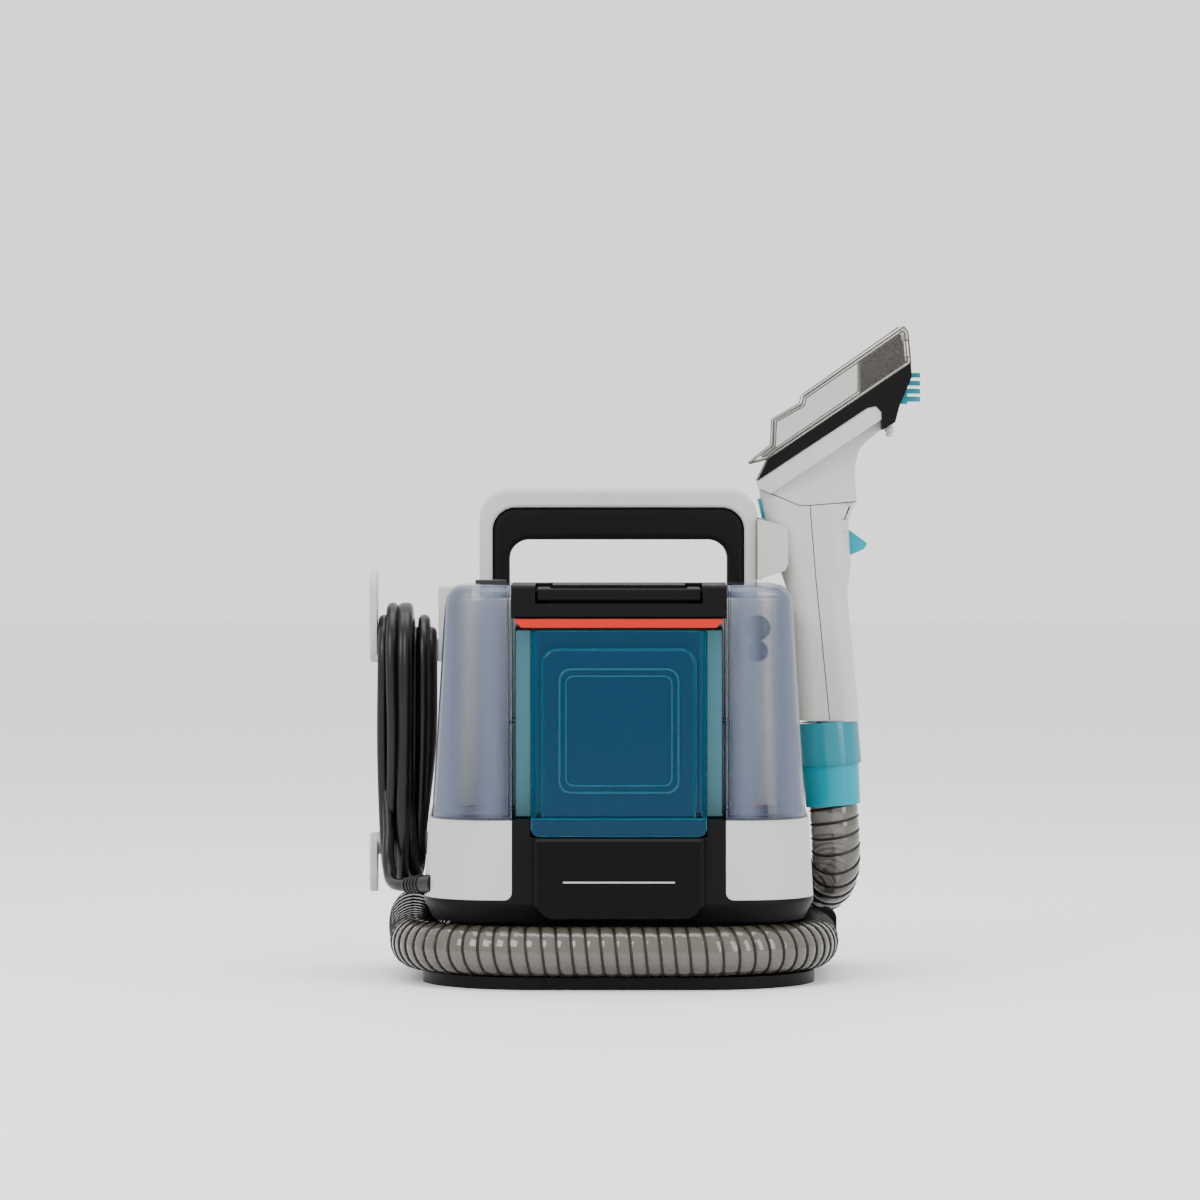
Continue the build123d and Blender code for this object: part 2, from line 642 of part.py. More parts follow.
def make_dirty_tank():
    """Tinted dirty water tank with its lid and float."""
    parts = {}
    bottom = deck_height - dirty_drop
    flange_front = dirty_front - 20
    rear = -bay_back - slide_gap
    core = box(-dirty_front_half, dirty_front_half, -dirty_front, rear, deck_height + tank_gap, dirty_top)
    flange = box(-dirty_flange_half, dirty_flange_half, -flange_front, rear, deck_height + tank_gap,
                 dirty_top)
    core = fillet(core.edges().filter_by(Axis.Z).group_by(Axis.Y)[0], 6)
    foot = box(-dirty_front_half, dirty_front_half, -dirty_front - lip_proud, -dirty_front + lip_proud - 0.6,
               bottom, deck_height + tank_gap)
    foot = fillet(foot.edges().filter_by(Axis.Y).group_by(Axis.Z)[0], 4)
    panel_low, panel_high = deck_height + tank_gap, dirty_top - 11
    panel_mid, panel_tall = (panel_low + panel_high) / 2, panel_high - panel_low
    panel_face = Pos(0, panel_mid) * RectangleRounded(2 * dirty_panel_half, panel_tall, dirty_panel_corner)
    panel_face += Pos(0, panel_low + 8) * Rectangle(2 * dirty_panel_half, 16)
    panel = front_plate(panel_face, -dirty_front - dirty_panel_proud, -dirty_front + 1)
    panel = fillet(panel.faces().sort_by(Axis.Y)[0].edges(), 2.5)
    body = core + flange + foot + panel
    hollow = box(-dirty_front_half + tank_wall, dirty_front_half - tank_wall, -dirty_front + tank_wall,
                 rear - tank_wall, deck_height + tank_gap + tank_wall, dirty_top + 1)
    hollow = fillet(hollow.edges().filter_by(Axis.Z).group_by(Axis.Y)[0], 6 - tank_wall)
    hollow += box(-dirty_flange_half + tank_wall, dirty_flange_half - tank_wall, -flange_front + tank_wall,
                  rear - tank_wall, deck_height + tank_gap + tank_wall, dirty_top + 1)
    hollow += box(-dirty_front_half + tank_wall, dirty_front_half - tank_wall,
                  -dirty_front - lip_proud + tank_wall,
                  -dirty_front + lip_proud - 0.6 - tank_wall, bottom + tank_wall, deck_height + 2 * tank_wall)
    hollow += front_plate(Pos(0, (panel_low + panel_high) / 2) * RectangleRounded(
        2 * (dirty_panel_half - tank_wall), panel_high - panel_low - 2 * tank_wall, 7),
        -dirty_front - dirty_panel_proud + tank_wall, -dirty_front + 2 * tank_wall)
    body -= hollow
    spigot_end = tower_front - 2.0 - port_gap
    for x, radius in ((inlet_x, inlet_radius - 1), (outlet_x, outlet_radius - 0.5)):
        body += rod(radius, (x, rear - tank_wall, port_z), (x, spigot_end, port_z))
    for x, radius in ((inlet_x, inlet_radius - 3), (outlet_x, outlet_radius - 2)):
        body -= rod(radius, (x, rear - 2 * tank_wall, port_z), (x, spigot_end + 1, port_z))

    lid = box(-dirty_flange_half, dirty_flange_half, -flange_front, rear, dirty_top,
              dirty_top + lid_thickness)
    lid += box(-dirty_front_half, dirty_front_half, -dirty_front, rear, dirty_top, dirty_top + lid_thickness)
    rim = tank_wall + slide_gap
    lid += box(-dirty_front_half + rim, dirty_front_half - rim, -dirty_front + rim + 4, rear - rim,
               dirty_top - lid_rim, dirty_top)
    parts["dirty_tank_lid"] = lid

    float_x, float_y = outlet_x - 2, rear - tank_wall - 11
    cage_low, cage_high = port_z - 34, port_z - 4
    cage = ring(9.6, 8.2, (float_x, float_y, cage_low), (float_x, float_y, cage_high))
    cage += rod(8.2, (float_x, float_y, cage_low), (float_x, float_y, cage_low + 1.5))
    cage += box(float_x - 2, float_x + 2, float_y + 8.6, rear - tank_wall, cage_low, cage_high)
    for turn in (45, 135):
        window = Pos(float_x, float_y, (cage_low + cage_high) / 2) * Rot(0, 0, turn) * Box(40, 6, 20)
        cage -= window
    parts["dirty_tank_body"] = body + cage
    parts["float_ball"] = Pos(float_x, float_y, cage_low + 1.5 + 7.6) * Sphere(7.5)
    return parts


def make_machinery():
    """Vacuum motor, fan, ducts and pump."""
    parts = {}
    z0 = deck_height + motor_bottom
    z1 = z0 + motor_height
    fan_low = z0 - fan_height
    centre = (0, motor_y)

    def at(z):
        return (*centre, z)

    case = ring(motor_radius + case_skin, motor_radius, at(z0), at(z1))
    case += ring(motor_radius + case_skin, shaft_radius + 4, at(z1), at(z1 + case_skin))
    parts["motor_stator"] = ring(motor_radius - 0.01, 17, at(z0 + 12), at(z0 + 42))
    shaft = rod(shaft_radius, at(fan_low + 6), at(z1 - 2)) + rod(16, at(z0 + 12), at(z0 + 42))
    parts["motor_shaft"] = shaft
    fan_case = ring(motor_radius + case_skin, motor_radius, at(fan_low), at(z0))
    fan_case += ring(motor_radius, shaft_radius + shaft_clearance, at(z0 - case_skin), at(z0))
    fan_case += ring(motor_radius, 12, at(fan_low), at(fan_low + case_skin))
    fan_case -= rod(3, at(fan_low + 14), (0, motor_y + 60, fan_low + 14))
    fan_case += ring(24, 20, at(deck_height), at(fan_low))
    hub_low = fan_low + 8
    impeller = ring(9, shaft_radius, at(hub_low), at(hub_low + 14))
    impeller += ring(motor_radius - 2, 8.5, at(hub_low + 12), at(hub_low + 14))
    for index in range(blade_total):
        spot = Pos(0, motor_y, hub_low + 7) * Rot(0, 0, index * 360 / blade_total) * Pos(16, 0, 0)
        blade = spot * Rot(0, 0, blade_slant) * Box(16, 1.6, 11)
        impeller += blade
    parts["impeller"] = impeller
    bearing_low, bearing_high = z0 + 2, z1 - 12
    holders = []
    for z in (bearing_low, bearing_high):
        holders.append(ring(10, shaft_radius + shaft_clearance, at(z), at(z + 6)))
        case += ring(motor_radius + 1, 10, at(z), at(z + 6))
    parts["motor_bearings"] = Compound(children=holders)
    parts["motor_case"] = case

    mouth = Vector(hose_wrap_route[0])
    inside = (duct_x, wand_y, mouth.Z)
    turn_point = (mouth.X, wand_y, mouth.Z)
    elbow = box(mouth.X - elbow_radius, mouth.X + elbow_radius, mouth.Y, wand_y + elbow_bore,
                mouth.Z - hose_radius, mouth.Z + hose_radius)
    elbow = fillet(elbow.edges().filter_by(Axis.Y), 6.0)
    elbow += rod(elbow_bore, turn_point, inside)
    elbow -= rod(elbow_bore - 2, mouth, (mouth.X, wand_y + elbow_bore - 2, mouth.Z))
    elbow -= rod(elbow_bore - 3, turn_point, inside)
    parts["hose_elbow"] = elbow

    corners = [(duct_x, wand_y, port_z), (duct_x, duct_y, port_z), (inlet_x, duct_y, port_z)]
    start = (duct_x, wand_y, neck_top + 1)
    box_low, box_high = mouth.Z - elbow_bore, neck_top + 1
    chamber = box(duct_x - 2 * elbow_bore, duct_x, wand_y - elbow_bore, wand_y + elbow_bore, box_low,
                  box_high)
    chamber += box(duct_x, duct_x + duct_radius, wand_y - duct_radius, wand_y + duct_radius,
                   mouth.Z + elbow_bore + 1, box_high)
    chamber_bore = box(duct_x - 2 * elbow_bore + 2, duct_x + 1, wand_y - elbow_bore + 2,
                       wand_y + elbow_bore - 2,
                       box_low + 2, box_high - 2)
    port = (inlet_x, tower_front + wall, port_z)

    def duct(radius):
        solid = rod(radius, start, corners[0]) + rod(radius, corners[0], corners[1])
        solid += rod(radius, corners[1], corners[2]) + rod(radius, corners[2], port)
        for corner in corners:
            solid += Pos(*corner) * Sphere(radius)
        return solid

    bore = duct(duct_bore) + rod(duct_bore, (duct_x, wand_y, box_high - 4), start)
    parts["suction_duct"] = chamber + duct(duct_radius) - chamber_bore - bore

    outlet_turn = (outlet_x, duct_y, port_z)
    outlet_end = (outlet_x, duct_y, fan_low + 8)
    air = rod(outlet_radius - 1, (outlet_x, tower_front + wall, port_z), outlet_turn)
    case_front = motor_y - motor_radius + 1.5
    air += Pos(*outlet_turn) * Sphere(outlet_radius - 1) + rod(outlet_radius - 1, outlet_turn, outlet_end)
    air += Pos(*outlet_end) * Sphere(outlet_radius - 1)
    air += rod(outlet_radius - 1, outlet_end, (outlet_x, case_front, fan_low + 8))
    fan_case += air - duct(duct_radius) - rod(motor_radius, at(fan_low), at(z0))
    parts["fan_case"] = fan_case

    pump_mid = foot_height + pump_height / 2
    pump_end = pump_x + pump_half_length
    pump = box(pump_x - pump_half_length, pump_end, pump_y - pump_half_width, pump_y + pump_half_width,
               foot_height, foot_height + pump_height)
    pump += rod(pump_motor_radius, (pump_x - pump_half_length - pump_motor_length, pump_y, pump_mid),
                (pump_x - pump_half_length, pump_y, pump_mid))
    feed_y, feed_z = pump_y - pump_half_width / 2, foot_height + feed_rise
    spout = (pump_end + pump_spout_length, feed_y, feed_z)
    pump += rod(feed_radius + 0.5, (pump_end, feed_y, feed_z), spout)
    parts["water_pump"] = pump
    feed = [spout, (spout[0] + 34, feed_y, feed_z), (valve_x - 36, -valve_y + 26, feed_z + 5),
            (valve_x, -valve_y, feed_z + 22), (valve_x, -valve_y, deck_height - socket_depth - wall)]
    parts["pump_feed_tube"] = tube_along(feed, corner_radii(feed), feed_radius)
    return parts


def make_hose_and_cord():
    """Hose wound round the waist, mains cord on its two hooks, and the plug."""
    parts = {}
    route = hose_wrap_route + hose_riser_route
    radii = corner_radii(route)
    print("hose bend radii", [round(value) for value in radii])
    inner_corners = len(hose_wrap_route) - 1
    hose_split = (Vector(hose_wrap_route[-1]) + Vector(hose_riser_route[0])) / 2
    parts["hose_wrap"] = tube_along(hose_wrap_route + [hose_split], radii[:inner_corners], hose_radius,
                                    hose_bore)
    parts["hose_riser"] = tube_along([hose_split] + hose_riser_route, radii[inner_corners:], hose_radius,
                                     hose_bore)

    lead_radii = corner_radii(cord_lead_route)
    tail_radii = corner_radii(cord_tail_route)
    print("cord bend radii", [round(value) for value in lead_radii + tail_radii])
    parts["cord_lead"] = tube_along(cord_lead_route, lead_radii, cord_radius)
    parts["cord_tail"] = tube_along(cord_tail_route, tail_radii, cord_radius)

    inner = hook_radius + hank_gap
    outer = inner + hank_layers * 2 * cord_radius

    def racetrack(radius, x0, x1):
        length = x1 - x0
        solid = rod(radius, (x0, hook_y, hook_low_z), (x1, hook_y, hook_low_z))
        solid += rod(radius, (x0, hook_y, hook_high_z), (x1, hook_y, hook_high_z))
        return solid + Pos((x0 + x1) / 2, hook_y, (hook_low_z + hook_high_z) / 2) * Box(
            length, 2 * radius, hook_high_z - hook_low_z)

    x_out = -hook_paddle_x + hank_gap
    low_x = -half_width - hank_clearance
    side_line = make_face(Polyline((x_out, 0), (low_x, 0), (low_x, deck_height + hank_step_low),
                                   (-hank_side, deck_height + hank_step_high), (-hank_side, 2 * hook_high_z),
                                   (x_out, 2 * hook_high_z), close=True))
    hank = racetrack(outer, x_out, -110) - racetrack(inner, x_out - 1, -109)
    parts["cord_hank"] = hank & front_plate(side_line, -body_depth, body_depth)

    end = Vector(cord_tail_route[-1])
    grip_top_z = end.Z - plug_relief
    grip_low = grip_top_z - plug_height
    plug = extrude(Pos(end.X, end.Y, grip_top_z) * Circle(cord_radius + 1.6), amount=plug_relief, taper=5)
    plug += fillet(box(end.X - plug_depth / 2, end.X + plug_depth / 2, end.Y - plug_width / 2,
                       end.Y + plug_width / 2,
                       grip_low, grip_top_z).edges().filter_by(Axis.Z), plug_corner)
    for y in (end.Y - pin_spacing / 2, end.Y + pin_spacing / 2):
        plug += box(end.X - pin_width / 2, end.X + pin_width / 2, y - pin_thickness / 2,
                    y + pin_thickness / 2,
                    grip_low - pin_length, grip_low)
    parts["mains_plug"] = plug

    heading = (gland_tip - Vector(cord_lead_route[1])).normalized()
    root = gland_tip + heading * relief_length
    parts["strain_relief"] = loft([Plane(origin=root, z_dir=-heading) * Circle(relief_root),
                                   Plane(origin=gland_tip, z_dir=-heading) * Circle(relief_tip)])
    return parts


def make_hooks():
    """Two fixed cord hooks on the left side."""
    parts = {}
    for name, z, away, inner_x in (("upper_cord_hook", hook_high_z, 1, -tower_half_width + 16),
                                   ("lower_cord_hook", hook_low_z, -1, -half_width + 8)):
        saddle = ring(hook_radius, hook_radius - hook_wall, (-hook_paddle_x, hook_y, z), (inner_x, hook_y, z))
        keep = box(-hook_paddle_x, inner_x, hook_y - hook_radius, hook_y + hook_radius,
                   min(z, z + away * hook_radius), max(z, z + away * hook_radius))
        saddle &= keep
        saddle += box(-hook_paddle_x, inner_x, hook_y - 2, hook_y + 2, min(z, z + away * (hook_radius - 1)),
                      max(z, z + away * (hook_radius - 1)))
        height = 60 if away > 0 else 38
        paddle = Pos(-hook_paddle_x - hook_paddle_thickness / 2, hook_y,
                     z + away * (height / 2 - (1 if away > 0 else 0)))
        plate = extrude(Plane.YZ * RectangleRounded(hook_depth, height, 12),
                        amount=hook_paddle_thickness / 2, both=True)
        plate = fillet(plate.edges().group_by(Axis.X)[0], 1.5)
        saddle += paddle * plate
        if away > 0:
            bracket = box(-tower_half_width - 5, inner_x, hook_y - hook_depth / 2, hook_y + hook_depth / 2,
                          z, z + 48)
            saddle += bracket
            saddle -= tower_envelope()
        else:
            saddle -= housing_envelope()
        parts[name] = saddle
    return parts


def make_wand():
    """Hand tool: grip shells, trigger, valve, collar and cuff."""
    parts = {}

    def solid_grip(inset):
        body = side_prism(grip_outline, wand_depth - 2 * inset, inset)
        edges = body.edges().group_by(Axis.Y)
        rim = [edge for edge in edges[0] + edges[-1] if abs((edge @ 0).Z - (edge @ 1).Z) > 12]
        return fillet(rim, wand_round - inset)

    skin = solid_grip(0) - solid_grip(wand_wall)
    duct_low = (wand_x - 3.3, wand_y, wand_z + 55.0)
    duct_mid = (wand_x - 19.0, wand_y, wand_z + 154.0)
    duct_top = (wand_x - 26.5, wand_y, wand_z + 194.0)
    way = rod(7.5, duct_low, duct_mid) + Pos(*duct_mid) * Sphere(7.5) + rod(7.5, duct_mid, duct_top)
    bore = rod(6.0, duct_low, duct_mid) + Pos(*duct_mid) * Sphere(6.0) + rod(6.0, duct_mid, duct_top)
    skin -= way
    split = side_prism(grip_split, 2 * wand_depth)
    left = skin & split
    right = skin - split
    parts["wand_duct"] = way - bore

    slot_gap = 0.8
    right -= box(wand_x - 3, wand_x + 30, wand_y - trigger_half - slot_gap, wand_y + trigger_half + slot_gap,
                 wand_z + 159.0, wand_z + 191.0)
    trigger = side_prism(trigger_outline, 2 * trigger_half)
    trigger = fillet(trigger.edges().filter_by(Axis.Y).sort_by(Axis.X)[-2:], 1.2)
    pivot_x, pivot_z = wand_x + trigger_pivot[0], wand_z + trigger_pivot[1]
    pin_radius = 1.5
    trigger -= peg(pin_radius + pin_clearance / 2, pivot_x, pivot_z, wand_y - 20, wand_y + 20)
    pin_half = wand_depth / 2 - wand_wall - 0.2
    parts["trigger_pin"] = rod(pin_radius, (pivot_x, wand_y - pin_half, pivot_z),
                               (pivot_x, wand_y + pin_half, pivot_z))
    for sign in (-1, 1):
        y0, y1 = sorted((wand_y + sign * (trigger_half + slot_gap), wand_y + sign * (pin_half + 0.5)))
        boss = box(pivot_x - 4, wand_x + 9, y0, y1, pivot_z - 4, pivot_z + 4)
        right += boss - split
    right -= parts["trigger_pin"]
    parts["trigger"] = trigger
    valve_z = wand_z + 164.0
    valve = box(wand_x - 11.8, wand_x - 7.2, wand_y - 6, wand_y + 6, valve_z - 7, valve_z + 7)
    valve -= rod(2.05, (wand_x - 11.0, wand_y, valve_z), (wand_x, wand_y, valve_z))
    valve -= way
    parts["spray_valve"] = valve
    plunger = rod(2.0, (wand_x - 7.2, wand_y, valve_z), (wand_x - 1.8, wand_y, valve_z))
    parts["spray_plunger"] = plunger

    left_x = wand_x - 46.0
    left -= box(left_x - 10, left_x + 8, wand_y - 8.5, wand_y + 8.5, wand_z + release_low - 0.5,
                wand_z + release_high + 0.5)
    button_face = [(-46.9, release_low), (-49.8, release_high), (-41.5, release_high), (-39.5, release_low)]
    parts["release_button"] = side_prism(button_face, 16.0)
    parts["wand_shell_left"] = left
    parts["wand_shell_right"] = right

    axis = Vector(-math.sin(math.radians(wand_tilt)), 0, math.cos(math.radians(wand_tilt)))
    base = Vector(wand_x, wand_y, wand_z)
    cuff_top = base + axis * cuff_height
    collar_top = base + axis * (cuff_height + collar_height)
    cuff = loft([Plane(origin=base, z_dir=axis) * Circle(cuff_low_radius),
                 Plane(origin=cuff_top, z_dir=axis) * Circle(cuff_high_radius)])
    cuff -= rod(hose_bore, base, cuff_top)
    parts["hose_cuff"] = cuff
    collar = ring(collar_radius, collar_bore, cuff_top, collar_top)
    parts["wand_collar"] = collar - solid_grip(0)
    return parts


def make_head():
    """Removable tool head: body, black frame, clear window, brush and spray tip."""
    parts = {}
    rise = math.atan2(289.15 - 226.75, 48.45 + 43.2)
    along = Vector(math.cos(rise), 0, math.sin(rise))
    low = Vector(wand_x - 50.35, wand_y, wand_z + 212.45)
    plane = Plane(origin=low, x_dir=(along.X, 0, along.Z), z_dir=(-along.Z, 0, along.X))

    def fan(inset, thickness=120.0):
        slope = (fan_wide - fan_narrow) / fan_length
        start, stop = inset - fan_overrun, fan_length + fan_overrun
        y_start = fan_narrow + slope * start - inset
        y_stop = fan_wide - inset
        points = [(start, -y_start), (fan_length, -y_stop), (stop, -y_stop),
                  (stop, y_stop), (fan_length, y_stop), (start, y_start)]
        return extrude(plane * make_face(Polyline(*points, close=True)), amount=thickness, both=True)

    wide = 4 * fan_wide
    body = side_prism(head_outline, wand_depth)
    upper = side_prism(head_outline, wide) & fan(0)
    below = extrude(Plane(origin=low - plane.z_dir * 12, x_dir=plane.x_dir,
                          z_dir=-plane.z_dir) * Rectangle(500, 500), amount=200)
    upper -= below
    body = body + upper
    frame = side_prism(frame_outline, wide) & fan(-1.0)
    frame -= side_prism([(-34.0, 225.5), (60.0, 289.5), (60.0, 310.0), (-50.0, 240.0)],
                        wide) & fan(frame_wall)
    window = side_prism(window_outline, wide) & fan(0.5)
    window -= side_prism(window_outline, wide, window_wall) & fan(0.5 + window_wall)
    mouth = side_prism([(38.0, 293.0), (60.0, 293.0), (60.0, 305.0), (38.0, 303.0)], 2 * (fan_wide - 6))
    window -= mouth
    window -= frame
    bar_x0, bar_x1 = wand_x + brush_back, wand_x + brush_back + brush_bar_depth
    bar_z0, bar_z1 = wand_z + brush_low, wand_z + brush_low + brush_height
    bar_half = fan_wide - brush_inset
    brush = box(bar_x0, bar_x1, wand_y - bar_half, wand_y + bar_half, bar_z0, bar_z1)
    frame -= box(bar_x0 - head_clearance, bar_x1 + fan_overrun, wand_y - bar_half - head_clearance,
                 wand_y + bar_half + head_clearance, bar_z0 - head_clearance, bar_z1 + head_clearance)
    for index in range(blade_count):
        z = bar_z0 + blade_thickness / 2 + index * blade_pitch
        brush += box(bar_x1 - 0.5, bar_x1 + blade_length, wand_y - bar_half + 1, wand_y + bar_half - 1,
                     z, z + blade_thickness)
    parts["brush"] = brush

    tip_x, tip_low, tip_high = wand_x + tip_reach, wand_z + tip_bottom, wand_z + tip_top
    stem = rod(tip_radius, (tip_x, wand_y, tip_low), (tip_x, wand_y, tip_high))
    tip = stem + rod(tip_collar_radius, (tip_x, wand_y, tip_low + 3), (tip_x, wand_y, tip_low + 6))
    frame -= stem
    neck_way = rod(6.0, (wand_x - 26.5, wand_y, wand_z + 190.0), (wand_x - 10.0, wand_y, wand_z + 262.0))
    body -= neck_way
    frame -= neck_way
    body -= frame
    parts["spray_tip"] = tip
    parts["tool_head_body"] = body
    parts["tool_head_frame"] = frame
    parts["suction_window"] = window
    return parts


os.makedirs("parts", exist_ok=True)
nodes, foot_screws = make_base()
tower_nodes, tower_screws = make_tower()
nodes.update(tower_nodes)
nodes["housing_screws"] = Compound(children=foot_screws + tower_screws)
for make in (make_handle, make_clean_tank, make_dirty_tank, make_machinery,
             make_hose_and_cord, make_hooks, make_wand, make_head):
    nodes.update(make())

nodes["side_panel_left"] -= nodes["strain_relief"]
nodes["base_housing"] -= nodes["strain_relief"] + nodes["hose_elbow"]

for name, shape in nodes.items():
    export_step(shape, f"parts/{name}.step")
    print(f"{name}: {len(shape.solids())} solid(s), {shape.volume / 1000:.1f} cm3")
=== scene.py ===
"""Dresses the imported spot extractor: finishes, hose, mains lead, moulded detail and a plain studio."""

from __future__ import annotations

import json
import logging
import math
import random
from collections.abc import Callable
from dataclasses import dataclass, field
from enum import Enum
from functools import partial

import bmesh
import bpy
from mathutils import Matrix, Vector

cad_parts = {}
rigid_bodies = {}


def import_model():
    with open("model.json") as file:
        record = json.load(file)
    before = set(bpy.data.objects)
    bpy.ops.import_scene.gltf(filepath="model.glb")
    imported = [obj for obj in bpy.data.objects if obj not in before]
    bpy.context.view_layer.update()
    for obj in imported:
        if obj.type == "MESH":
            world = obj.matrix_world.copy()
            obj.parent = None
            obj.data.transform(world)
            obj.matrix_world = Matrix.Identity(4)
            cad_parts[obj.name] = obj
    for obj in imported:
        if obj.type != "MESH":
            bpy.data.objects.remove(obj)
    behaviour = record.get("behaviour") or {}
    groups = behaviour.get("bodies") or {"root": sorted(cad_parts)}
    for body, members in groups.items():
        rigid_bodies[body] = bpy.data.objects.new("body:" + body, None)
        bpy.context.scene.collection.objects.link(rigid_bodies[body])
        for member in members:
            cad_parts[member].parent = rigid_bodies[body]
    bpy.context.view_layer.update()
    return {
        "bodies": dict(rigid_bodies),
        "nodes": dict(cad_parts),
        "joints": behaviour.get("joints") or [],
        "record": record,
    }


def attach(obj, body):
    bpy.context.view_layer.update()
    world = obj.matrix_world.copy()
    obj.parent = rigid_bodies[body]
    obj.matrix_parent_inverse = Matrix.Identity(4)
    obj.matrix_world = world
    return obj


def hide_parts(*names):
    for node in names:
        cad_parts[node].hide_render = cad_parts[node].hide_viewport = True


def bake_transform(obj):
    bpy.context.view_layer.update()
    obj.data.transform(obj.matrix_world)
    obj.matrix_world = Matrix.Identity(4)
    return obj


LOG = logging.getLogger("spot_extractor")
MM = 0.001
FULL_TURN = 2 * math.pi
SMOOTH_ANGLE = math.radians(40)
WELD = 1e-6
Point = tuple[float, float, float]
Pair = tuple[float, float]
Colour = tuple[float, float, float]


def metres(point: Point) -> Vector:
    """The point, given in millimetres, as a vector in metres."""
    return Vector(point) * MM


def new_object(name: str, data: bpy.types.ID) -> bpy.types.Object:
    """Makes an object and links it to the scene.

    Args:
        name: The object's name.
        data: Its mesh, curve, light or camera.

    Returns:
        The object.
    """
    item = bpy.data.objects.new(name, data)
    bpy.context.scene.collection.objects.link(item)
    return item


# ------------------------------------------------------------------ shader graph
class Sock:
    """An output socket or a number that builds Math nodes when it is used in arithmetic."""

    def __init__(self, graph: Graph, value: bpy.types.NodeSocket | float) -> None:
        """Wraps a value.

        Args:
            graph: The graph that new Math nodes are added to.
            value: A node's output socket, or a plain number.
        """
        self.graph = graph
        self.value = value

    def _math(self, operation: str, left: Sock | float, right: Sock | float) -> Sock:
        """Adds one Math node.

        Args:
            operation: The node's operation.
            left: The first operand.
            right: The second operand.

        Returns:
            The node's result.
        """
        return self.graph.add("ShaderNodeMath", {"operation": operation}, {0: left, 1: right})

    def __add__(self, other: Sock | float) -> Sock:
        """Sum."""
        return self._math("ADD", self, other)

    def __sub__(self, other: Sock | float) -> Sock:
        """Difference."""
        return self._math("SUBTRACT", self, other)

    def __rsub__(self, other: float) -> Sock:
        """Number less socket."""
        return self._math("SUBTRACT", other, self)

    def __mul__(self, other: Sock | float) -> Sock:
        """Product."""
        return self._math("MULTIPLY", self, other)

    def __truediv__(self, other: Sock | float) -> Sock:
        """Quotient."""
        return self._math("DIVIDE", self, other)

    __radd__ = __add__
    __rmul__ = __mul__

    def clamp(self) -> Sock:
        """The value held between 0 and 1."""
        return self._math("MINIMUM", self._math("MAXIMUM", self, 0.0), 1.0)

    def wave(self) -> Sock:
        """The sine of the value."""
        return self._math("SINE", self, 0.0)


class Graph:
    """The node tree of one material."""

    edge_samples: int = 4
    edge_contrast: float = 4.0

    def __init__(self, name: str) -> None:
        """Starts an empty tree.

        Args:
            name: The material's name.
        """
        self.material = bpy.data.materials.new(name)
        self.material.use_nodes = True
        self.tree = self.material.node_tree
        self.tree.nodes.clear()
        self.place = self.add("ShaderNodeTexCoord", output="Object")

    def add(self, kind: str, settings: dict | None = None, inputs: dict | None = None,
            output: int | str = 0) -> Sock:
        """Makes one node.

        Args:
            kind: The node's type.
            settings: Its properties, set before its sockets.
            inputs: Numbers, colours or links for its input sockets.
            output: Which output is returned.

        Returns:
            The chosen output, wrapped.
        """
        node = self.tree.nodes.new(kind)
        for key, value in (settings or {}).items():
            setattr(node, key, value)
        for key, value in (inputs or {}).items():
            value = value.value if isinstance(value, Sock) else value
            if isinstance(value, bpy.types.NodeSocket):
                self.tree.links.new(value, node.inputs[key])
            else:
                node.inputs[key].default_value = value
        return Sock(self, node.outputs[output])

    def noise(self, size_mm: float, detail: float = 3.0, rough: float = 0.5) -> Sock:
        """Smooth noise whose blotches are about a given size."""
        return self.add("ShaderNodeTexNoise", {}, {"Vector": self.place, "Scale": 1.0 / (size_mm * MM),
                                                   "Detail": detail, "Roughness": rough})

    def across(self) -> Sock:
        """Distance from the machine's middle plane."""
        side = self.add("ShaderNodeSeparateXYZ", {}, {0: self.place}, output="X")
        return self.add("ShaderNodeMath", {"operation": "ABSOLUTE"}, {0: side})

    def mix(self, factor: Sock | float, low: Colour | Sock, high: Colour | Sock) -> Sock:
        """Blends two colours.

        Args:
            factor: 0 for the first colour and 1 for the second.
            low: The first colour.
            high: The second colour.

        Returns:
            The blended colour.
        """
        first, second = (value if isinstance(value, Sock) else (*value, 1.0) for value in (low, high))
        return self.add("ShaderNodeMix", {"data_type": "RGBA"}, {0: factor, 6: first, 7: second}, output=2)

    def bump(self, height: Sock, depth_mm: float, normal: Sock | None = None) -> Sock:
        """Turns a height into a normal.

        Args:
            height: The height, from 0 to 1.
            depth_mm: How deep a height of 1 is.
            normal: The normal it starts from, or None for the surface's own.

        Returns:
            The new normal.
        """
        inputs = {"Height": height, "Distance": depth_mm * MM, "Strength": 1.0}
        if normal is not None:
            inputs["Normal"] = normal
        return self.add("ShaderNodeBump", {}, inputs)

    def soft_edges(self, radius_mm: float) -> tuple[Sock, Sock]:
        """Rounds edges in shading.

        Args:
            radius_mm: The edge radius.

        Returns:
            The rounded normal, and a mask that is 1 on edges and 0 on flats.
        """
        rounded = self.add("ShaderNodeBevel", {"samples": self.edge_samples}, {"Radius": radius_mm * MM})
        true = self.add("ShaderNodeNewGeometry", output="Normal")
        agree = self.add("ShaderNodeVectorMath", {"operation": "DOT_PRODUCT"}, {0: rounded, 1: true},
                         output="Value")
        return rounded, ((1.0 - agree) * self.edge_contrast).clamp()

    def close(self, settings: dict) -> bpy.types.Material:
        """Adds the shader and the output.

        Args:
            settings: The shader's inputs.

        Returns:
            The finished material.
        """
        shader = self.add("ShaderNodeBsdfPrincipled", {}, settings)
        self.add_output(shader)
        return self.material

    def add_output(self, shader: Sock) -> None:
        """Joins a shader to the material's output."""
        node = self.tree.nodes.new("ShaderNodeOutputMaterial")
        self.tree.links.new(shader.value, node.inputs["Surface"])


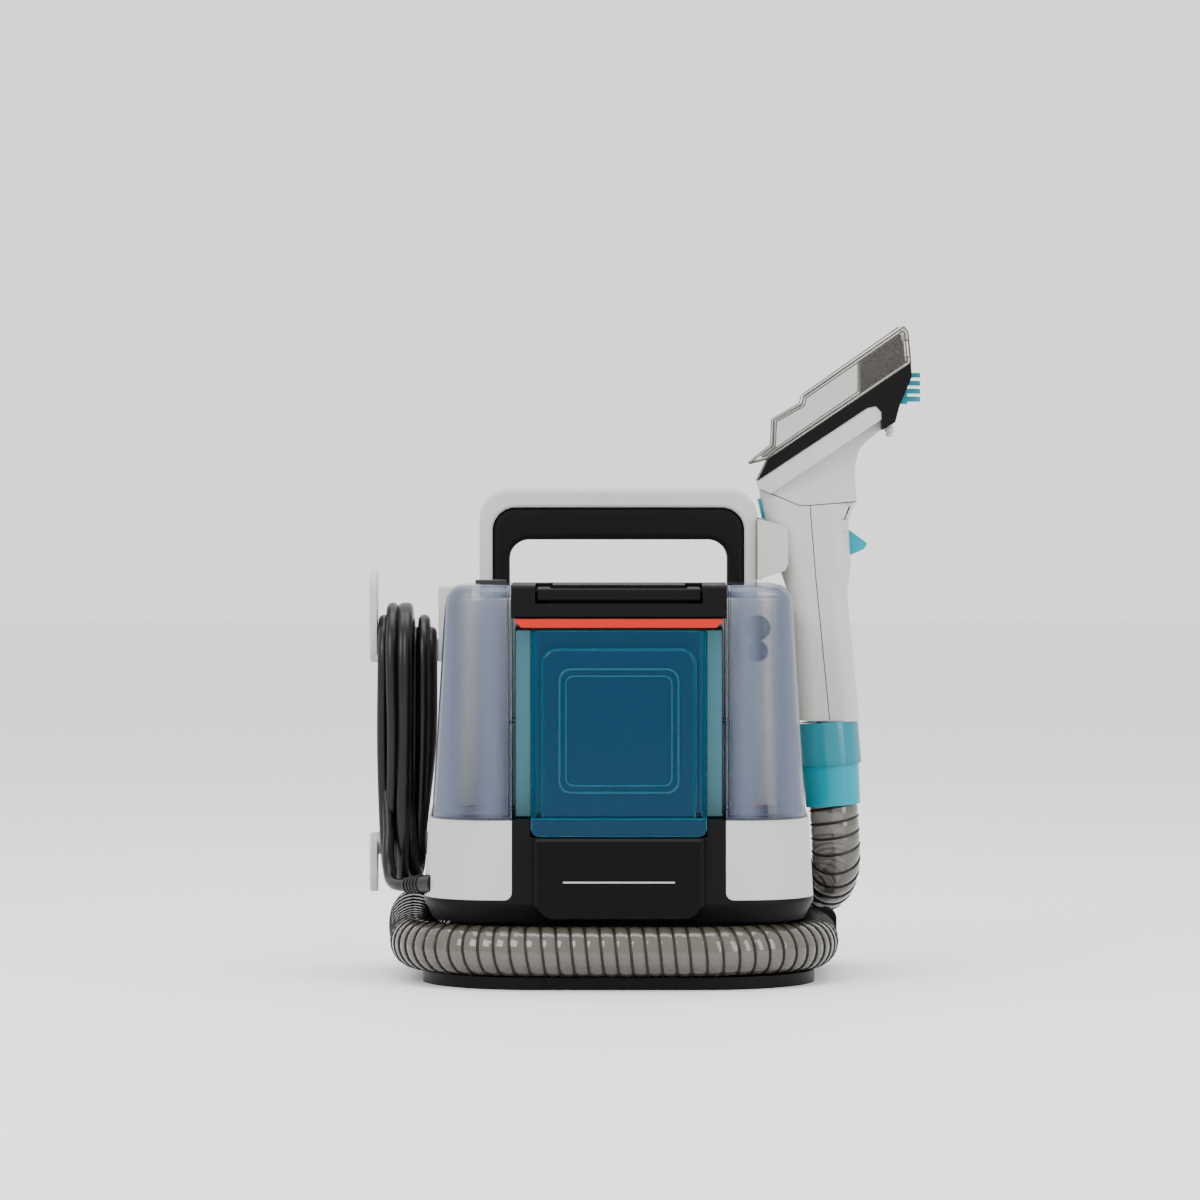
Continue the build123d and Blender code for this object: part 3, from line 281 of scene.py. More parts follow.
# ------------------------------------------------------------------ finishes
@dataclass(frozen=True)
class Moulded:
    """Opaque moulded plastic or rubber with a fine skin texture and a painted highlight along its edges."""

    name: str
    colour: Colour
    roughness: float = 0.45
    grain_mm: float = 0.7
    grain_depth: float = 0.02
    edge_mm: float = 0.6
    # How far the painted edge highlight lightens the colour towards white.
    edge_gain: float = 0.10
    drift: float = 0.04
    coat: float = 0.0
    metallic: float = 0.0
    specular: float = 0.5
    comb_mm: float = 0.0
    cloud_mm: float = 45.0
    edge_highlight_noise_mm: float = 3.0
    edge_highlight_share: float = 0.6
    cloud_rough: float = 0.08
    grain_rough: float = 0.06
    coat_roughness: float = 0.08

    def build(self) -> bpy.types.Material:
        """Makes the material."""
        graph = Graph(self.name)
        cloud, grain = graph.noise(self.cloud_mm, 2.0), graph.noise(self.grain_mm, 2.0, 0.6)
        if self.comb_mm:
            depth = graph.add("ShaderNodeSeparateXYZ", {}, {0: graph.place}, output="Y")
            grain = (depth * (FULL_TURN / (self.comb_mm * MM))).wave() * 0.5 + 0.5
        rounded, edge = graph.soft_edges(self.edge_mm)
        dark = tuple(channel * (1.0 - self.drift) for channel in self.colour)
        light = tuple(min(1.0, channel * (1.0 + self.drift)) for channel in self.colour)
        # Painted edge highlight: the colour is lightened on edges, broken up by noise.
        edge_highlight_colour = tuple(min(1.0, channel + self.edge_gain * (1.0 - channel)) for channel in self.colour)
        edge_highlight_mask = edge * self.edge_highlight_share * graph.noise(self.edge_highlight_noise_mm)
        rough = self.roughness - self.grain_rough + cloud * self.cloud_rough + grain * self.grain_rough
        return graph.close({"Base Color": graph.mix(edge_highlight_mask, graph.mix(cloud, dark, light), edge_highlight_colour),
                            "Roughness": rough.clamp(), "Metallic": self.metallic,
                            "Coat Weight": self.coat, "Coat Roughness": self.coat_roughness,
                            "Specular IOR Level": self.specular,
                            "Normal": graph.bump(grain, self.grain_depth, rounded)})


@dataclass(frozen=True)
class Tinted:
    """Clear tinted plastic, denser where it is seen edge on, with optional painted highlight and shade bands
    across its width.
    """

    name: str
    face: Colour
    rim: Colour
    face_alpha: float
    rim_alpha: float
    roughness: float = 0.06
    spread: float = 0.45
    edge_mm: float = 1.2
    coat: float = 0.3
    specular: float = 0.5
    # Painted highlight and shade bands: their period, centre and strength.
    painted_light_band_mm: float = 0.0
    painted_light_band_centre_mm: float = 0.0
    painted_light_band_gain: float = 0.0
    thin_from_mm: float = 0.0
    thin: Colour = (0.0, 0.0, 0.0)
    edge_gain: float = 1.6
    flow_mm: float = 60.0
    flow_depth: float = 0.25
    haze_mm: float = 9.0
    haze_alpha: float = 0.03
    haze_rough: float = 0.04
    coat_roughness: float = 0.04
    ior: float = 1.5

    def build(self) -> bpy.types.Material:
        """Makes the material."""
        graph = Graph(self.name)
        edge = graph.add("ShaderNodeLayerWeight", {}, {"Blend": self.spread}, output="Facing")
        if self.edge_mm:
            edge = (edge + graph.soft_edges(self.edge_mm)[1] * self.edge_gain).clamp()
        flow, haze = graph.noise(self.flow_mm, 1.0), graph.noise(self.haze_mm, 2.0)
        alpha = self.face_alpha + edge * (self.rim_alpha - self.face_alpha) + haze * self.haze_alpha
        colour = graph.mix(edge, self.face, self.rim)
        # Painted highlight and shade: alpha falls and rises in upright bands with distance from the middle
        # plane, giving lighter and darker stripes.
        if self.painted_light_band_mm:
            shift = graph.across() - self.painted_light_band_centre_mm * MM
            alpha = alpha - (shift * (FULL_TURN / (self.painted_light_band_mm * MM)) + math.pi / 2).wave() * self.painted_light_band_gain
        if self.thin_from_mm:
            thin = ((graph.across() - self.thin_from_mm * MM) / MM).clamp()
            colour = graph.mix(thin, colour, self.thin)
        return graph.close({"Base Color": colour, "Alpha": alpha.clamp(),
                            "Roughness": (self.roughness + haze * self.haze_rough).clamp(), "IOR": self.ior,
                            "Coat Weight": self.coat, "Coat Roughness": self.coat_roughness,
                            "Specular IOR Level": self.specular,
                            "Normal": graph.bump(flow, self.flow_depth)})


@dataclass(frozen=True)
class Metal:
    """Plated or wound metal with fine turning marks."""

    name: str
    colour: Colour
    roughness: float = 0.3
    line_mm: float = 0.5
    line_rough: float = 0.12
    line_depth: float = 0.02
    cloud_mm: float = 8.0
    dark_share: float = 0.8
    scale_per_turn: float = 6.3

    def build(self) -> bpy.types.Material:
        """Makes the material."""
        graph = Graph(self.name)
        lines = graph.add("ShaderNodeTexWave", {"bands_direction": "Z"},
                          {"Vector": graph.place, "Scale": 1.0 / (self.line_mm * MM * self.scale_per_turn),
                           "Distortion": 1.0}, output=1)
        dark = tuple(channel * self.dark_share for channel in self.colour)
        return graph.close({"Base Color": graph.mix(graph.noise(self.cloud_mm), dark, self.colour),
                            "Metallic": 1.0, "Roughness": (self.roughness + lines * self.line_rough).clamp(),
                            "Normal": graph.bump(lines, self.line_depth)})


class Finish(Enum):
    """Every finish on the machine; the value holds its recipe."""

    # edge_gain on the moulded finishes sets how far their painted edge highlight lightens edges.
    BLACK = Moulded("black_satin_plastic", (0.0050, 0.0046, 0.0045), roughness=0.38, grain_mm=0.5,
                    edge_mm=0.7, edge_gain=0.012, specular=0.07)
    GLOSS = Moulded("black_gloss_plastic", (0.0022, 0.0022, 0.0024), roughness=0.16, grain_mm=3.0,
                    grain_depth=0.01, edge_mm=0.8, edge_gain=0.01, specular=0.07)
    GREY = Moulded("grey_matt_shell", (0.440, 0.446, 0.425), roughness=0.40, grain_mm=0.45,
                   grain_depth=0.015, edge_mm=0.9, edge_gain=0.22, drift=0.025, specular=0.3)
    GRIP = Moulded("soft_touch_grip", (0.0040, 0.0037, 0.0036), roughness=0.58, grain_mm=0.35,
                   grain_depth=0.04, edge_mm=1.2, edge_gain=0.015, specular=0.09)
    RUBBER = Moulded("foot_rubber", (0.006, 0.006, 0.006), roughness=0.75, grain_mm=0.8, grain_depth=0.06,
                     edge_mm=0.5, edge_gain=0.03, specular=0.15)
    TEAL = Moulded("teal_gloss_plastic", (0.0, 0.245, 0.320), roughness=0.25, grain_mm=0.9,
                   grain_depth=0.012, edge_mm=0.5, edge_gain=0.15, coat=0.05, specular=0.15)
    BRISTLE = Moulded("teal_brush_bristle", (0.0, 0.165, 0.21), grain_mm=0.9, grain_depth=0.35,
                      edge_mm=0.3, edge_gain=0.15, specular=0.2, comb_mm=1.3)
    RED = Moulded("red_satin_plastic", (0.44, 0.008, 0.002), roughness=0.32, grain_mm=0.8,
                  grain_depth=0.012, edge_mm=0.5, coat=0.05, specular=0.2)
    CORD = Moulded("cord_jacket", (0.0025, 0.0025, 0.0025), roughness=0.30, grain_mm=0.6, edge_mm=0.3,
                   edge_gain=0.015, specular=0.28)
    RING = Moulded("hose_spiral_wire", (0.006, 0.005, 0.004), roughness=0.35, grain_mm=0.6, edge_mm=0.3,
                   edge_gain=0.015, specular=0.3)
    LINE = Moulded("badge_line_silver", (0.42, 0.43, 0.43), roughness=0.3, grain_mm=0.4, grain_depth=0.01,
                   edge_mm=0.2, metallic=0.4)
    SEAM = Moulded("shadow_gap", (0.045, 0.045, 0.043), roughness=0.7, grain_mm=0.5, grain_depth=0.01,
                   edge_mm=0.2, edge_gain=0.0, specular=0.1)
    STEEL = Metal("plated_steel", (0.50, 0.50, 0.51), roughness=0.28)
    COPPER = Metal("lacquered_copper", (0.62, 0.28, 0.12), roughness=0.35, line_mm=0.9)
    # The clear tank walls carry painted highlight and shade bands.
    CLEAR = Tinted("clear_tank_wall", (0.135, 0.165, 0.245), (0.030, 0.042, 0.085), 0.22, 0.80,
                   spread=0.52, edge_mm=0.0, coat=0.2, specular=0.45, painted_light_band_mm=29.0, painted_light_band_centre_mm=96.0,
                   painted_light_band_gain=0.17)
    TANK = Tinted("teal_tank_wall", (0.0, 0.026, 0.062), (0.0, 0.110, 0.170), 0.84, 0.93, roughness=0.10,
                  spread=0.38, edge_mm=0.0, coat=0.04, specular=0.16, thin_from_mm=56.0,
                  thin=(0.120, 0.340, 0.400))
    RIB = Tinted("clear_tank_rib", (0.06, 0.07, 0.12), (0.02, 0.026, 0.06), 0.45, 0.9, spread=0.5,
                 edge_mm=0.0, coat=0.2, specular=0.4)
    EMBOSS = Tinted("teal_tank_rib", (0.0, 0.075, 0.13), (0.0, 0.16, 0.22), 0.6, 0.9, roughness=0.08,
                    edge_mm=0.0, coat=0.1, specular=0.35)
    COLLAR = Tinted("teal_clear_collar", (0.010, 0.235, 0.305), (0.0, 0.13, 0.18), 0.72, 0.92,
                    edge_mm=1.0, coat=0.1, specular=0.3)
    WINDOW = Tinted("clear_window", (0.19, 0.18, 0.16), (0.03, 0.027, 0.022), 0.13, 0.80, spread=0.34,
                    edge_mm=0.0, coat=0.1, specular=0.3)
    AMBER = Tinted("clear_window_edge", (0.055, 0.042, 0.026), (0.03, 0.022, 0.014), 0.75, 0.95,
                   roughness=0.10, spread=0.4, edge_mm=0.0, coat=0.1, specular=0.3)
    HOSE = Tinted("smoky_hose_wall", (0.088, 0.078, 0.061), (0.03, 0.026, 0.021), 0.78, 0.93,
                  roughness=0.10, spread=0.35, edge_mm=0.3, specular=0.7)
    WATER = Tinted("water_line", (0.30, 0.36, 0.40), (0.20, 0.26, 0.30), 0.88, 0.98, roughness=0.2,
                   spread=0.4, edge_mm=0.3, coat=0.05, specular=0.3)

    def material(self) -> bpy.types.Material:
        """The finish's material, made when it is first asked for."""
        return bpy.data.materials.get(self.value.name) or self.value.build()


SLOT_FINISH: dict[str, Finish] = {
    "black_plastic": Finish.BLACK, "gloss_black": Finish.GLOSS, "grey_shell": Finish.GREY,
    "grip_rubber": Finish.GRIP, "foot_rubber": Finish.RUBBER, "clear_tank": Finish.CLEAR,
    "teal_tank": Finish.TANK, "teal_plastic": Finish.TEAL, "red_plastic": Finish.RED,
    "hose_wall": Finish.HOSE, "cord_black": Finish.CORD, "steel": Finish.STEEL,
    "copper_motor": Finish.COPPER, "window_clear": Finish.WINDOW,
}
NODE_FINISH: dict[str, Finish] = {"wand_collar": Finish.COLLAR, "brush": Finish.BRISTLE,
                                  "tank_gauge_plate": Finish.GREY}


# ------------------------------------------------------------------ making pieces
def bevelled(mesh: bmesh.types.BMesh, geom: list, radius: float, segments: int,
             affect: str = "EDGES") -> None:
    """Rounds edges or corners of a mesh.

    Args:
        mesh: The mesh.
        geom: Its edges, or its vertices where flat corners are rounded.
        radius: The radius, in millimetres.
        segments: Steps round it.
        affect: EDGES or VERTICES.
    """
    bmesh.ops.bevel(mesh, geom=geom, offset=radius * MM, affect=affect, segments=segments, profile=0.5,
                    material=-1)


class Maker:
    """One new piece, shaped with bmesh operators in place and in metres."""

    def __init__(self, name: str) -> None:
        """Starts an empty piece.

        Args:
            name: The piece's name.
        """
        self.name = name
        self.mesh = bmesh.new()

    def edges_of(self, verts: list[bmesh.types.BMVert]) -> list[bmesh.types.BMEdge]:
        """The edges of some vertices, in the mesh's own order, which is the same each run."""
        near = {edge for vert in verts for edge in vert.link_edges}
        return [edge for edge in self.mesh.edges if edge in near]

    def block(self, low: Point, high: Point, radius: float = 0.0, segments: int = 3) -> None:
        """Adds a box with rounded edges.

        Args:
            low: Its lowest corner, in millimetres.
            high: Its highest corner, in millimetres.
            radius: The edge radius, in millimetres.
            segments: Steps round each edge.
        """
        low_m, high_m = metres(low), metres(high)
        size = high_m - low_m
        place = Matrix.Translation((low_m + high_m) / 2) @ Matrix.Diagonal((*size, 1.0))
        made = bmesh.ops.create_cube(self.mesh, size=1.0, matrix=place)
        if radius:
            bevelled(self.mesh, self.edges_of(made["verts"]), radius, segments)

    def drum(self, start: Point, stop: Point, radius: float, end_radius: float | None = None,
             edge: float = 0.0, sides: int = 32) -> None:
        """Adds a cylinder or cone between two points.

        Args:
            start: Centre of its first end, in millimetres.
            stop: Centre of its other end, in millimetres.
            radius: Radius at the first end.
            end_radius: Radius at the other end, if it differs.
            edge: Radius of its two rims.
            sides: Steps round it.
        """
        begin, end = metres(start), metres(stop)
        along = end - begin
        turn = along.to_track_quat("Z", "Y").to_matrix().to_4x4()
        place = Matrix.Translation((begin + end) / 2) @ turn
        made = bmesh.ops.create_cone(self.mesh, cap_ends=True, segments=sides, radius1=radius * MM,
                                     radius2=(radius if end_radius is None else end_radius) * MM,
                                     depth=along.length, matrix=place)
        if edge:
            rims = [side for side in self.edges_of(made["verts"])
                    if any(len(face.verts) > 4 for face in side.link_faces)]
            bevelled(self.mesh, rims, edge, 2)

    def frame_loop(self, centre: Point, half: Pair, corner: float, width: float, height: float,
                   crown: float) -> None:
        """Adds a raised rounded-rectangle rib that faces the front.

        Args:
            centre: Middle of the rib's back, in millimetres.
            half: Half its width and half its height, to its outside.
            corner: Its outer corner radius.
            width: How wide the rib is.
            height: How far it stands out.
            crown: Radius along its top edges.
        """
        flat = bmesh.new()
        bmesh.ops.create_grid(flat, x_segments=1, y_segments=1, size=MM)
        for vert in flat.verts:
            vert.co.x *= half[0]
            vert.co.y *= half[1]
        bevelled(flat, list(flat.verts), corner, 8, "VERTICES")
        inner = bmesh.ops.inset_region(flat, faces=list(flat.faces), thickness=width * MM, use_boundary=True,
                                       use_even_offset=True)
        rim = set(inner["faces"])
        bmesh.ops.delete(flat, geom=[face for face in flat.faces if face not in rim], context="FACES")
        raised = bmesh.ops.extrude_face_region(flat, geom=list(flat.faces))
        moved = [item for item in raised["geom"] if isinstance(item, bmesh.types.BMVert)]
        bmesh.ops.translate(flat, verts=moved, vec=(0, 0, height * MM))
        lifted = set(moved)
        tops = [edge for edge in flat.edges if all(vert in lifted for vert in edge.verts)
                and len(edge.link_faces) == 2 and abs(edge.calc_face_angle(0.0)) > 1.0]
        bevelled(flat, tops, crown, 2)
        upright = Matrix.Translation(metres(centre)) @ Matrix.Rotation(math.pi / 2, 4, "X")
        bmesh.ops.transform(flat, matrix=upright, verts=list(flat.verts))
        bmesh.ops.recalc_face_normals(flat, faces=list(flat.faces))
        self.absorb(flat)

    def absorb(self, other: bmesh.types.BMesh) -> None:
        """Adds another mesh to this one.

        Args:
            other: The mesh that is added, and then freed.
        """
        holder = bpy.data.meshes.new("holder")
        other.to_mesh(holder)
        other.free()
        self.mesh.from_mesh(holder)
        bpy.data.meshes.remove(holder)

    def wrap_grid(self, rows: int, around: int, place: Callable[[float, float], Vector]) -> None:
        """Adds a grid that is wrapped round a line, with its long sides joined.

        Args:
            rows: Steps along the line.
            around: Steps round it.
            place: Gives the place for a share along the line and a share round it.
        """
        part = bmesh.new()
        bmesh.ops.create_grid(part, x_segments=rows, y_segments=around, size=0.5)
        for vert in part.verts:
            vert.co = place(vert.co.x + 0.5, vert.co.y + 0.5)
        bmesh.ops.remove_doubles(part, verts=list(part.verts), dist=WELD)
        self.absorb(part)

    def done(self, finish: Finish, body: str | None) -> bpy.types.Object:
        """Makes the piece's object and dresses it.

        Args:
            finish: Its finish.
            body: The CAD body it rides on, or None to leave it on no body.

        Returns:
            The object.
        """
        bmesh.ops.recalc_face_normals(self.mesh, faces=list(self.mesh.faces))
        data = bpy.data.meshes.new(self.name)
        self.mesh.to_mesh(data)
        self.mesh.free()
        for polygon in data.polygons:
            polygon.use_smooth = True
        data.set_sharp_from_angle(angle=SMOOTH_ANGLE)
        data.materials.append(finish.material())
        piece = new_object(self.name, data)
        if body:
            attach(piece, body)
        LOG.info("made %s: %d faces", self.name, len(data.polygons))
        return piece


class Line:
    """A smooth line read from a NURBS route, with a frame that turns with it."""

    def __init__(self, name: str, route: list[Point]) -> None:
        """Samples the route.

        Args:
            name: A name for the route's curve.
            route: Its control points, in millimetres.
        """
        curve = nurbs_curve(name, route, 24)
        holder = new_object(name, curve)
        seen = holder.evaluated_get(bpy.context.evaluated_depsgraph_get())
        mesh = bpy.data.meshes.new_from_object(seen)
        self.points = [vert.co.copy() for vert in mesh.vertices]
        bpy.data.objects.remove(holder)
        bpy.data.meshes.remove(mesh)
        bpy.data.curves.remove(curve)
        self.reach = [0.0]
        for before, after in zip(self.points, self.points[1:]):
            self.reach.append(self.reach[-1] + (after - before).length)
        self.length = self.reach[-1]
        self.sides = self._turn_frames(Vector((1.0, 0.0, 0.0)))

    def _turn_frames(self, start: Vector) -> list[Vector]:
        """Carries a side vector along the line without twisting it.

        Args:
            start: The side vector at the start.

        Returns:
            The side vector at each point.
        """
        side, sides = start, []
        for index in range(len(self.points)):
            tangent = self.tangent(index)
            side = (side - tangent * side.dot(tangent)).normalized()
            sides.append(side)
        return sides

    def tangent(self, index: int) -> Vector:
        """The line's direction at a point."""
        before, after = max(index - 1, 0), min(index + 1, len(self.points) - 1)
        return (self.points[after] - self.points[before]).normalized()

    def at(self, share: float) -> tuple[Vector, Vector, Vector]:
        """The place and frame at a share of the length.

        Args:
            share: 0 at the start and 1 at the end.

        Returns:
            The point, the side vector and the up vector.
        """
        target = min(max(share, 0.0), 1.0) * self.length
        low, high = 0, len(self.reach) - 1
        while high - low > 1:
            middle = (low + high) // 2
            low, high = (middle, high) if self.reach[middle] <= target else (low, middle)
        blend = (target - self.reach[low]) / (self.reach[high] - self.reach[low])
        point = self.points[low].lerp(self.points[high], blend)
        tangent = self.tangent(low).lerp(self.tangent(high), blend).normalized()
        side = self.sides[low].lerp(self.sides[high], blend)
        side = (side - tangent * side.dot(tangent)).normalized()
        return point, side, tangent.cross(side)

    def ring_point(self, share: float, angle: float, radius: float) -> Vector:
        """A point at an angle and radius, in metres, round the line."""
        point, side, up = self.at(share)
        return point + (side * math.cos(angle) + up * math.sin(angle)) * radius


def nurbs_curve(name: str, route: list[Point], steps: int) -> bpy.types.Curve:
    """A curve of one open NURBS spline.

    Args:
        name: The curve's name.
        route: Its control points, in millimetres.
        steps: How finely it is drawn.

    Returns:
        The curve, with no thickness.
    """
    curve = bpy.data.curves.new(name, "CURVE")
    curve.dimensions = "3D"
    curve.resolution_u = steps
    curve.render_resolution_u = steps
    spline = curve.splines.new("NURBS")
    spline.points.add(len(route) - 1)
    for slot, point in zip(spline.points, route):
        slot.co = (*metres(point), 1.0)
    spline.order_u = 3
    spline.use_endpoint_u = True
    return curve


# ------------------------------------------------------------------ hose
@dataclass
class Hose:
    """Ribbed suction hose: smoky wall, dark spiral and the water line inside it."""

    radius: float = 15.3
    swell: float = 0.9
    pitch: float = 9.2
    wire: float = 0.95
    water: float = 3.6
    water_offset: float = 9.6
    water_turn: Pair = (0.86, -0.5)
    seat: float = 0.3
    proud: float = 0.1
    roundness: float = 0.7
    around: int = 28
    rows_per_turn: int = 7
    wire_rows_per_turn: int = 22
    exit: Point = (0.1262, 0.034, 0.0243)
    bend_start: Point = (0.1427, 0.051, 0.0726)
    bend_end: Point = (0.1410, 0.045, 0.106)
    diameter: float = 0.032
    declared: float = 0.885
    path_steps: int = 400
    route: list[Point] = field(default_factory=lambda: [
        (126.2, 34, 24.3), (126.2, 2, 24.3), (125.2, -44.4, 24.3), (104.1, -81.6, 24.3), (66.9, -103, 24.3),
        (22, -105, 24.3), (-25, -105.2, 24.3), (-72, -103, 24.3), (-110.5, -81.6, 24.3), (-131, -44.4, 24.3),
        (-131.5, -5, 25), (-134, 34, 29), (-134, 72, 36), (-118, 101, 40), (-88, 119, 42), (-50, 122, 43),
        (-6, 120.5, 42), (38, 122, 42.5), (78, 119.5, 41), (114, 107, 41), (137, 82, 50), (142.5, 57, 63),
        (142.83, 45, 82.1), (140.7, 45, 110)])

    def turns(self, line: Line) -> float:
        """How many turns the spiral makes along a line."""
        return line.length / (self.pitch * MM)

    def wall_at(self, line: Line, along: float, around: float) -> Vector:
        """A place on the ribbed wall.

        Args:
            line: The hose's line.
            along: Share of its length.
            around: Share of the way round.

        Returns:
            The place.
        """
        phase = (along * self.turns(line) - around) % 1.0
        bulge = math.sin(math.pi * phase) ** self.roundness
        return line.ring_point(along, FULL_TURN * around, (self.radius - self.seat + self.swell * bulge) * MM)

    def wire_at(self, line: Line, along: float, around: float) -> Vector:
        """A place on the spiral wire.

        Args:
            line: The hose's line.
            along: Share of its length.
            around: Share of the way round.

        Returns:
            The place.
        """
        point, side, up = line.at(along)
        centre = line.ring_point(along, FULL_TURN * along * self.turns(line), (self.radius + self.proud) * MM)
        outward, tangent = (centre - point).normalized(), side.cross(up)
        angle = FULL_TURN * around
        return centre + (outward * math.cos(angle) + tangent * math.sin(angle)) * self.wire * MM

    def water_at(self, line: Line, along: float, around: float) -> Vector:
        """A place on the inner water line.

        Args:
            line: The hose's line.
            along: Share of its length.
            around: Share of the way round.

        Returns:
            The place.
        """
        point, side, up = line.at(along)
        centre = point + (side * self.water_turn[0] + up * self.water_turn[1]) * self.water_offset * MM
        angle = FULL_TURN * around
        return centre + (side * math.cos(angle) + up * math.sin(angle)) * self.water * MM

    def build(self) -> None:
        line = Line("hose_route", self.route)
        turns = self.turns(line)
        pieces = []
        for name, finish, rows, around, place in (
                ("hose_ribbed_wall", Finish.HOSE, int(turns * self.rows_per_turn), self.around, self.wall_at),
                ("hose_spiral", Finish.RING, int(turns * self.wire_rows_per_turn), 6, self.wire_at),
                ("hose_water_line", Finish.WATER, 220, 12, self.water_at)):
            maker = Maker(name)
            maker.wrap_grid(rows, around, partial(place, line))
            pieces.append(maker.done(finish, None))
            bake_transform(pieces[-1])
        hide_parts("hose_wrap", "hose_riser")
        path = [tuple(line.at(step / self.path_steps)[0]) for step in range(self.path_steps + 1)]


# ------------------------------------------------------------------ mains lead
@dataclass
class MainsLead:
    """Mains cord wound in a loose hank on the two hooks, with its plug at the back."""

    radius: float = 3.9
    hook_y: float = 30.0
    top_z: float = 203.3
    low_z: float = 90.7
    low_x: float = -129.6
    inner_x: float = -121.5
    leaving_x: float = -141.0
    last_shift: Pair = (-2.0, -2.5)
    layers: tuple[float, ...] = (18.2, 26.0, 33.8)
    turns: tuple[tuple[float, ...], ...] = ((-152.6, -142.4, -132.3, -122.3),
                                            (-126.5, -136.4, -145.4, -152.4), (-147.0, -137.5))
    corner: float = math.radians(45)
    slack: float = 1.005
    bow: Pair = (-0.8, 1.6)
    sway: Pair = (-1.5, 1.5)
    seed: int = 7
    exit: Point = (-0.136, -0.045, 0.062)
    declared: float = 4.15
    lead: list[Point] = field(default_factory=lambda: [
        (-136, -45, 62), (-142.5, -37, 61), (-148, -23, 64), (-149.5, -9, 80), (-148, -3.5, 98)])
    tail: list[Point] = field(default_factory=lambda: [
        (-141, 64, 196), (-139.5, 75, 180), (-137.5, 82, 159), (-137.5, 82, 138)])

    def round_hook(self, x: float, reach: float, angle: float, z: float) -> Point:
        """A control point at an angle round one hook."""
        return (x, self.hook_y + reach * math.cos(angle), z + reach * math.sin(angle))

    def turn(self, x: float, next_x: float, radius: float, loose: random.Random) -> list[Point]:
        """Control points of one turn, from the front up, over the top, down the back and under.

        Args:
            x: Where the turn starts across the hooks.
            next_x: Where the next turn starts.
            radius: The turn's radius round each hook.
            loose: The source of its unevenness.

        Returns:
            Twelve points.
        """
        reach = radius / math.cos(self.corner / 2) * self.slack
        bow, sway = loose.uniform(*self.bow), loose.uniform(*self.sway)
        points = []
        for step in range(12):
            across = x + (next_x - x) * max(0.0, step / 12 - 0.5) * 2
            if step in (0, 6):
                y = self.hook_y + (-1 if step == 0 else 1) * (radius + bow)
                points.append((min(across + sway, self.inner_x), y, (self.top_z + self.low_z) / 2))
            elif step < 6:
                points.append(self.round_hook(across, reach, math.pi - (step - 1) * self.corner, self.top_z))
            else:
                points.append(self.round_hook(min(across, self.low_x), reach, -(step - 7) * self.corner,
                                              self.low_z))
        return points

    def route(self) -> list[Point]:
        """Every control point of the lead, from its gland to its plug."""
        loose = random.Random(self.seed)
        starts = [(x, radius) for radius, row in zip(self.layers, self.turns) for x in row]
        points = list(self.lead)
        for index, (x, radius) in enumerate(starts):
            following = starts[index + 1][0] if index + 1 < len(starts) else self.leaving_x
            points += self.turn(x, following, radius, loose)
        last_x, last = starts[-1]
        reach = last / math.cos(self.corner / 2)
        points += [(last_x + self.last_shift[0], self.hook_y - last, (self.top_z + self.low_z) / 2)]
        for step in range(4):
            points.append(self.round_hook(last_x + self.last_shift[1], reach, math.pi - step * self.corner,
                                          self.top_z))
        return points + self.tail

    def build(self, nodes: dict[str, bpy.types.Object]) -> None:
        """Args:
            nodes: The CAD nodes; not used.
        """
        curve = nurbs_curve("mains_lead", self.route(), 10)
        curve.bevel_depth = self.radius * MM
        curve.bevel_resolution = 4
        curve.materials.append(Finish.CORD.material())
        lead = new_object("mains_lead", curve)
        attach(lead, "chassis")
        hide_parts("cord_lead", "cord_hank", "cord_tail")
        LOG.info("made mains_lead: %d control points", len(curve.splines[0].points))


# ------------------------------------------------------------------ moulded detail
@dataclass
class TankDetail:
    """Raised and sunk moulding on the two tanks."""

    panel: Point = (0, -96.7, 164.0)
    outer_frame: tuple[Pair, float, float, float, float] = ((38.5, 40), 8, 1.6, 1.1, 0.4)
    inner_frame: tuple[Pair, float, float, float, float] = ((34.2, 35.4), 5.5, 1.2, 0.9, 0.3)
    rib_x: Pair = (71.5, 78.0)
    rib_low: float = 111
    front_rib: tuple[Pair, float, float] = ((-66, -63.5), 170, 1.1)
    side_rib: tuple[Pair, float, float] = ((-60, -40), 166, 0.6)
    side_rib_width: float = 1.8

    def build(self) -> None:
        """Makes the tank pieces."""
        self.front_panel()
        self.guide_ribs()

    def front_panel(self) -> None:
        """Stepped frames moulded in the dirty tank's front."""
        maker = Maker("dirty_tank_emboss")
        for frame in (self.outer_frame, self.inner_frame):
            maker.frame_loop(self.panel, *frame)
        maker.done(Finish.EMBOSS, "dirty_tank")

    def guide_ribs(self) -> None:
        """Upright guide ribs inside the clean tank, one pair each side of the bay."""
        for side, name in ((-1, "left"), (1, "right")):
            maker = Maker(f"clean_tank_ribs_{name}")
            low_x, high_x = sorted(side * x for x in self.rib_x)
            (front, back), high, radius = self.front_rib
            maker.block((low_x, front, self.rib_low), (high_x, back, high), radius, 3)
            (front, back), high, radius = self.side_rib
            maker.block((low_x, front, self.rib_low), (low_x + self.side_rib_width, back, high), radius, 2)
            maker.done(Finish.RIB, "clean_tank")


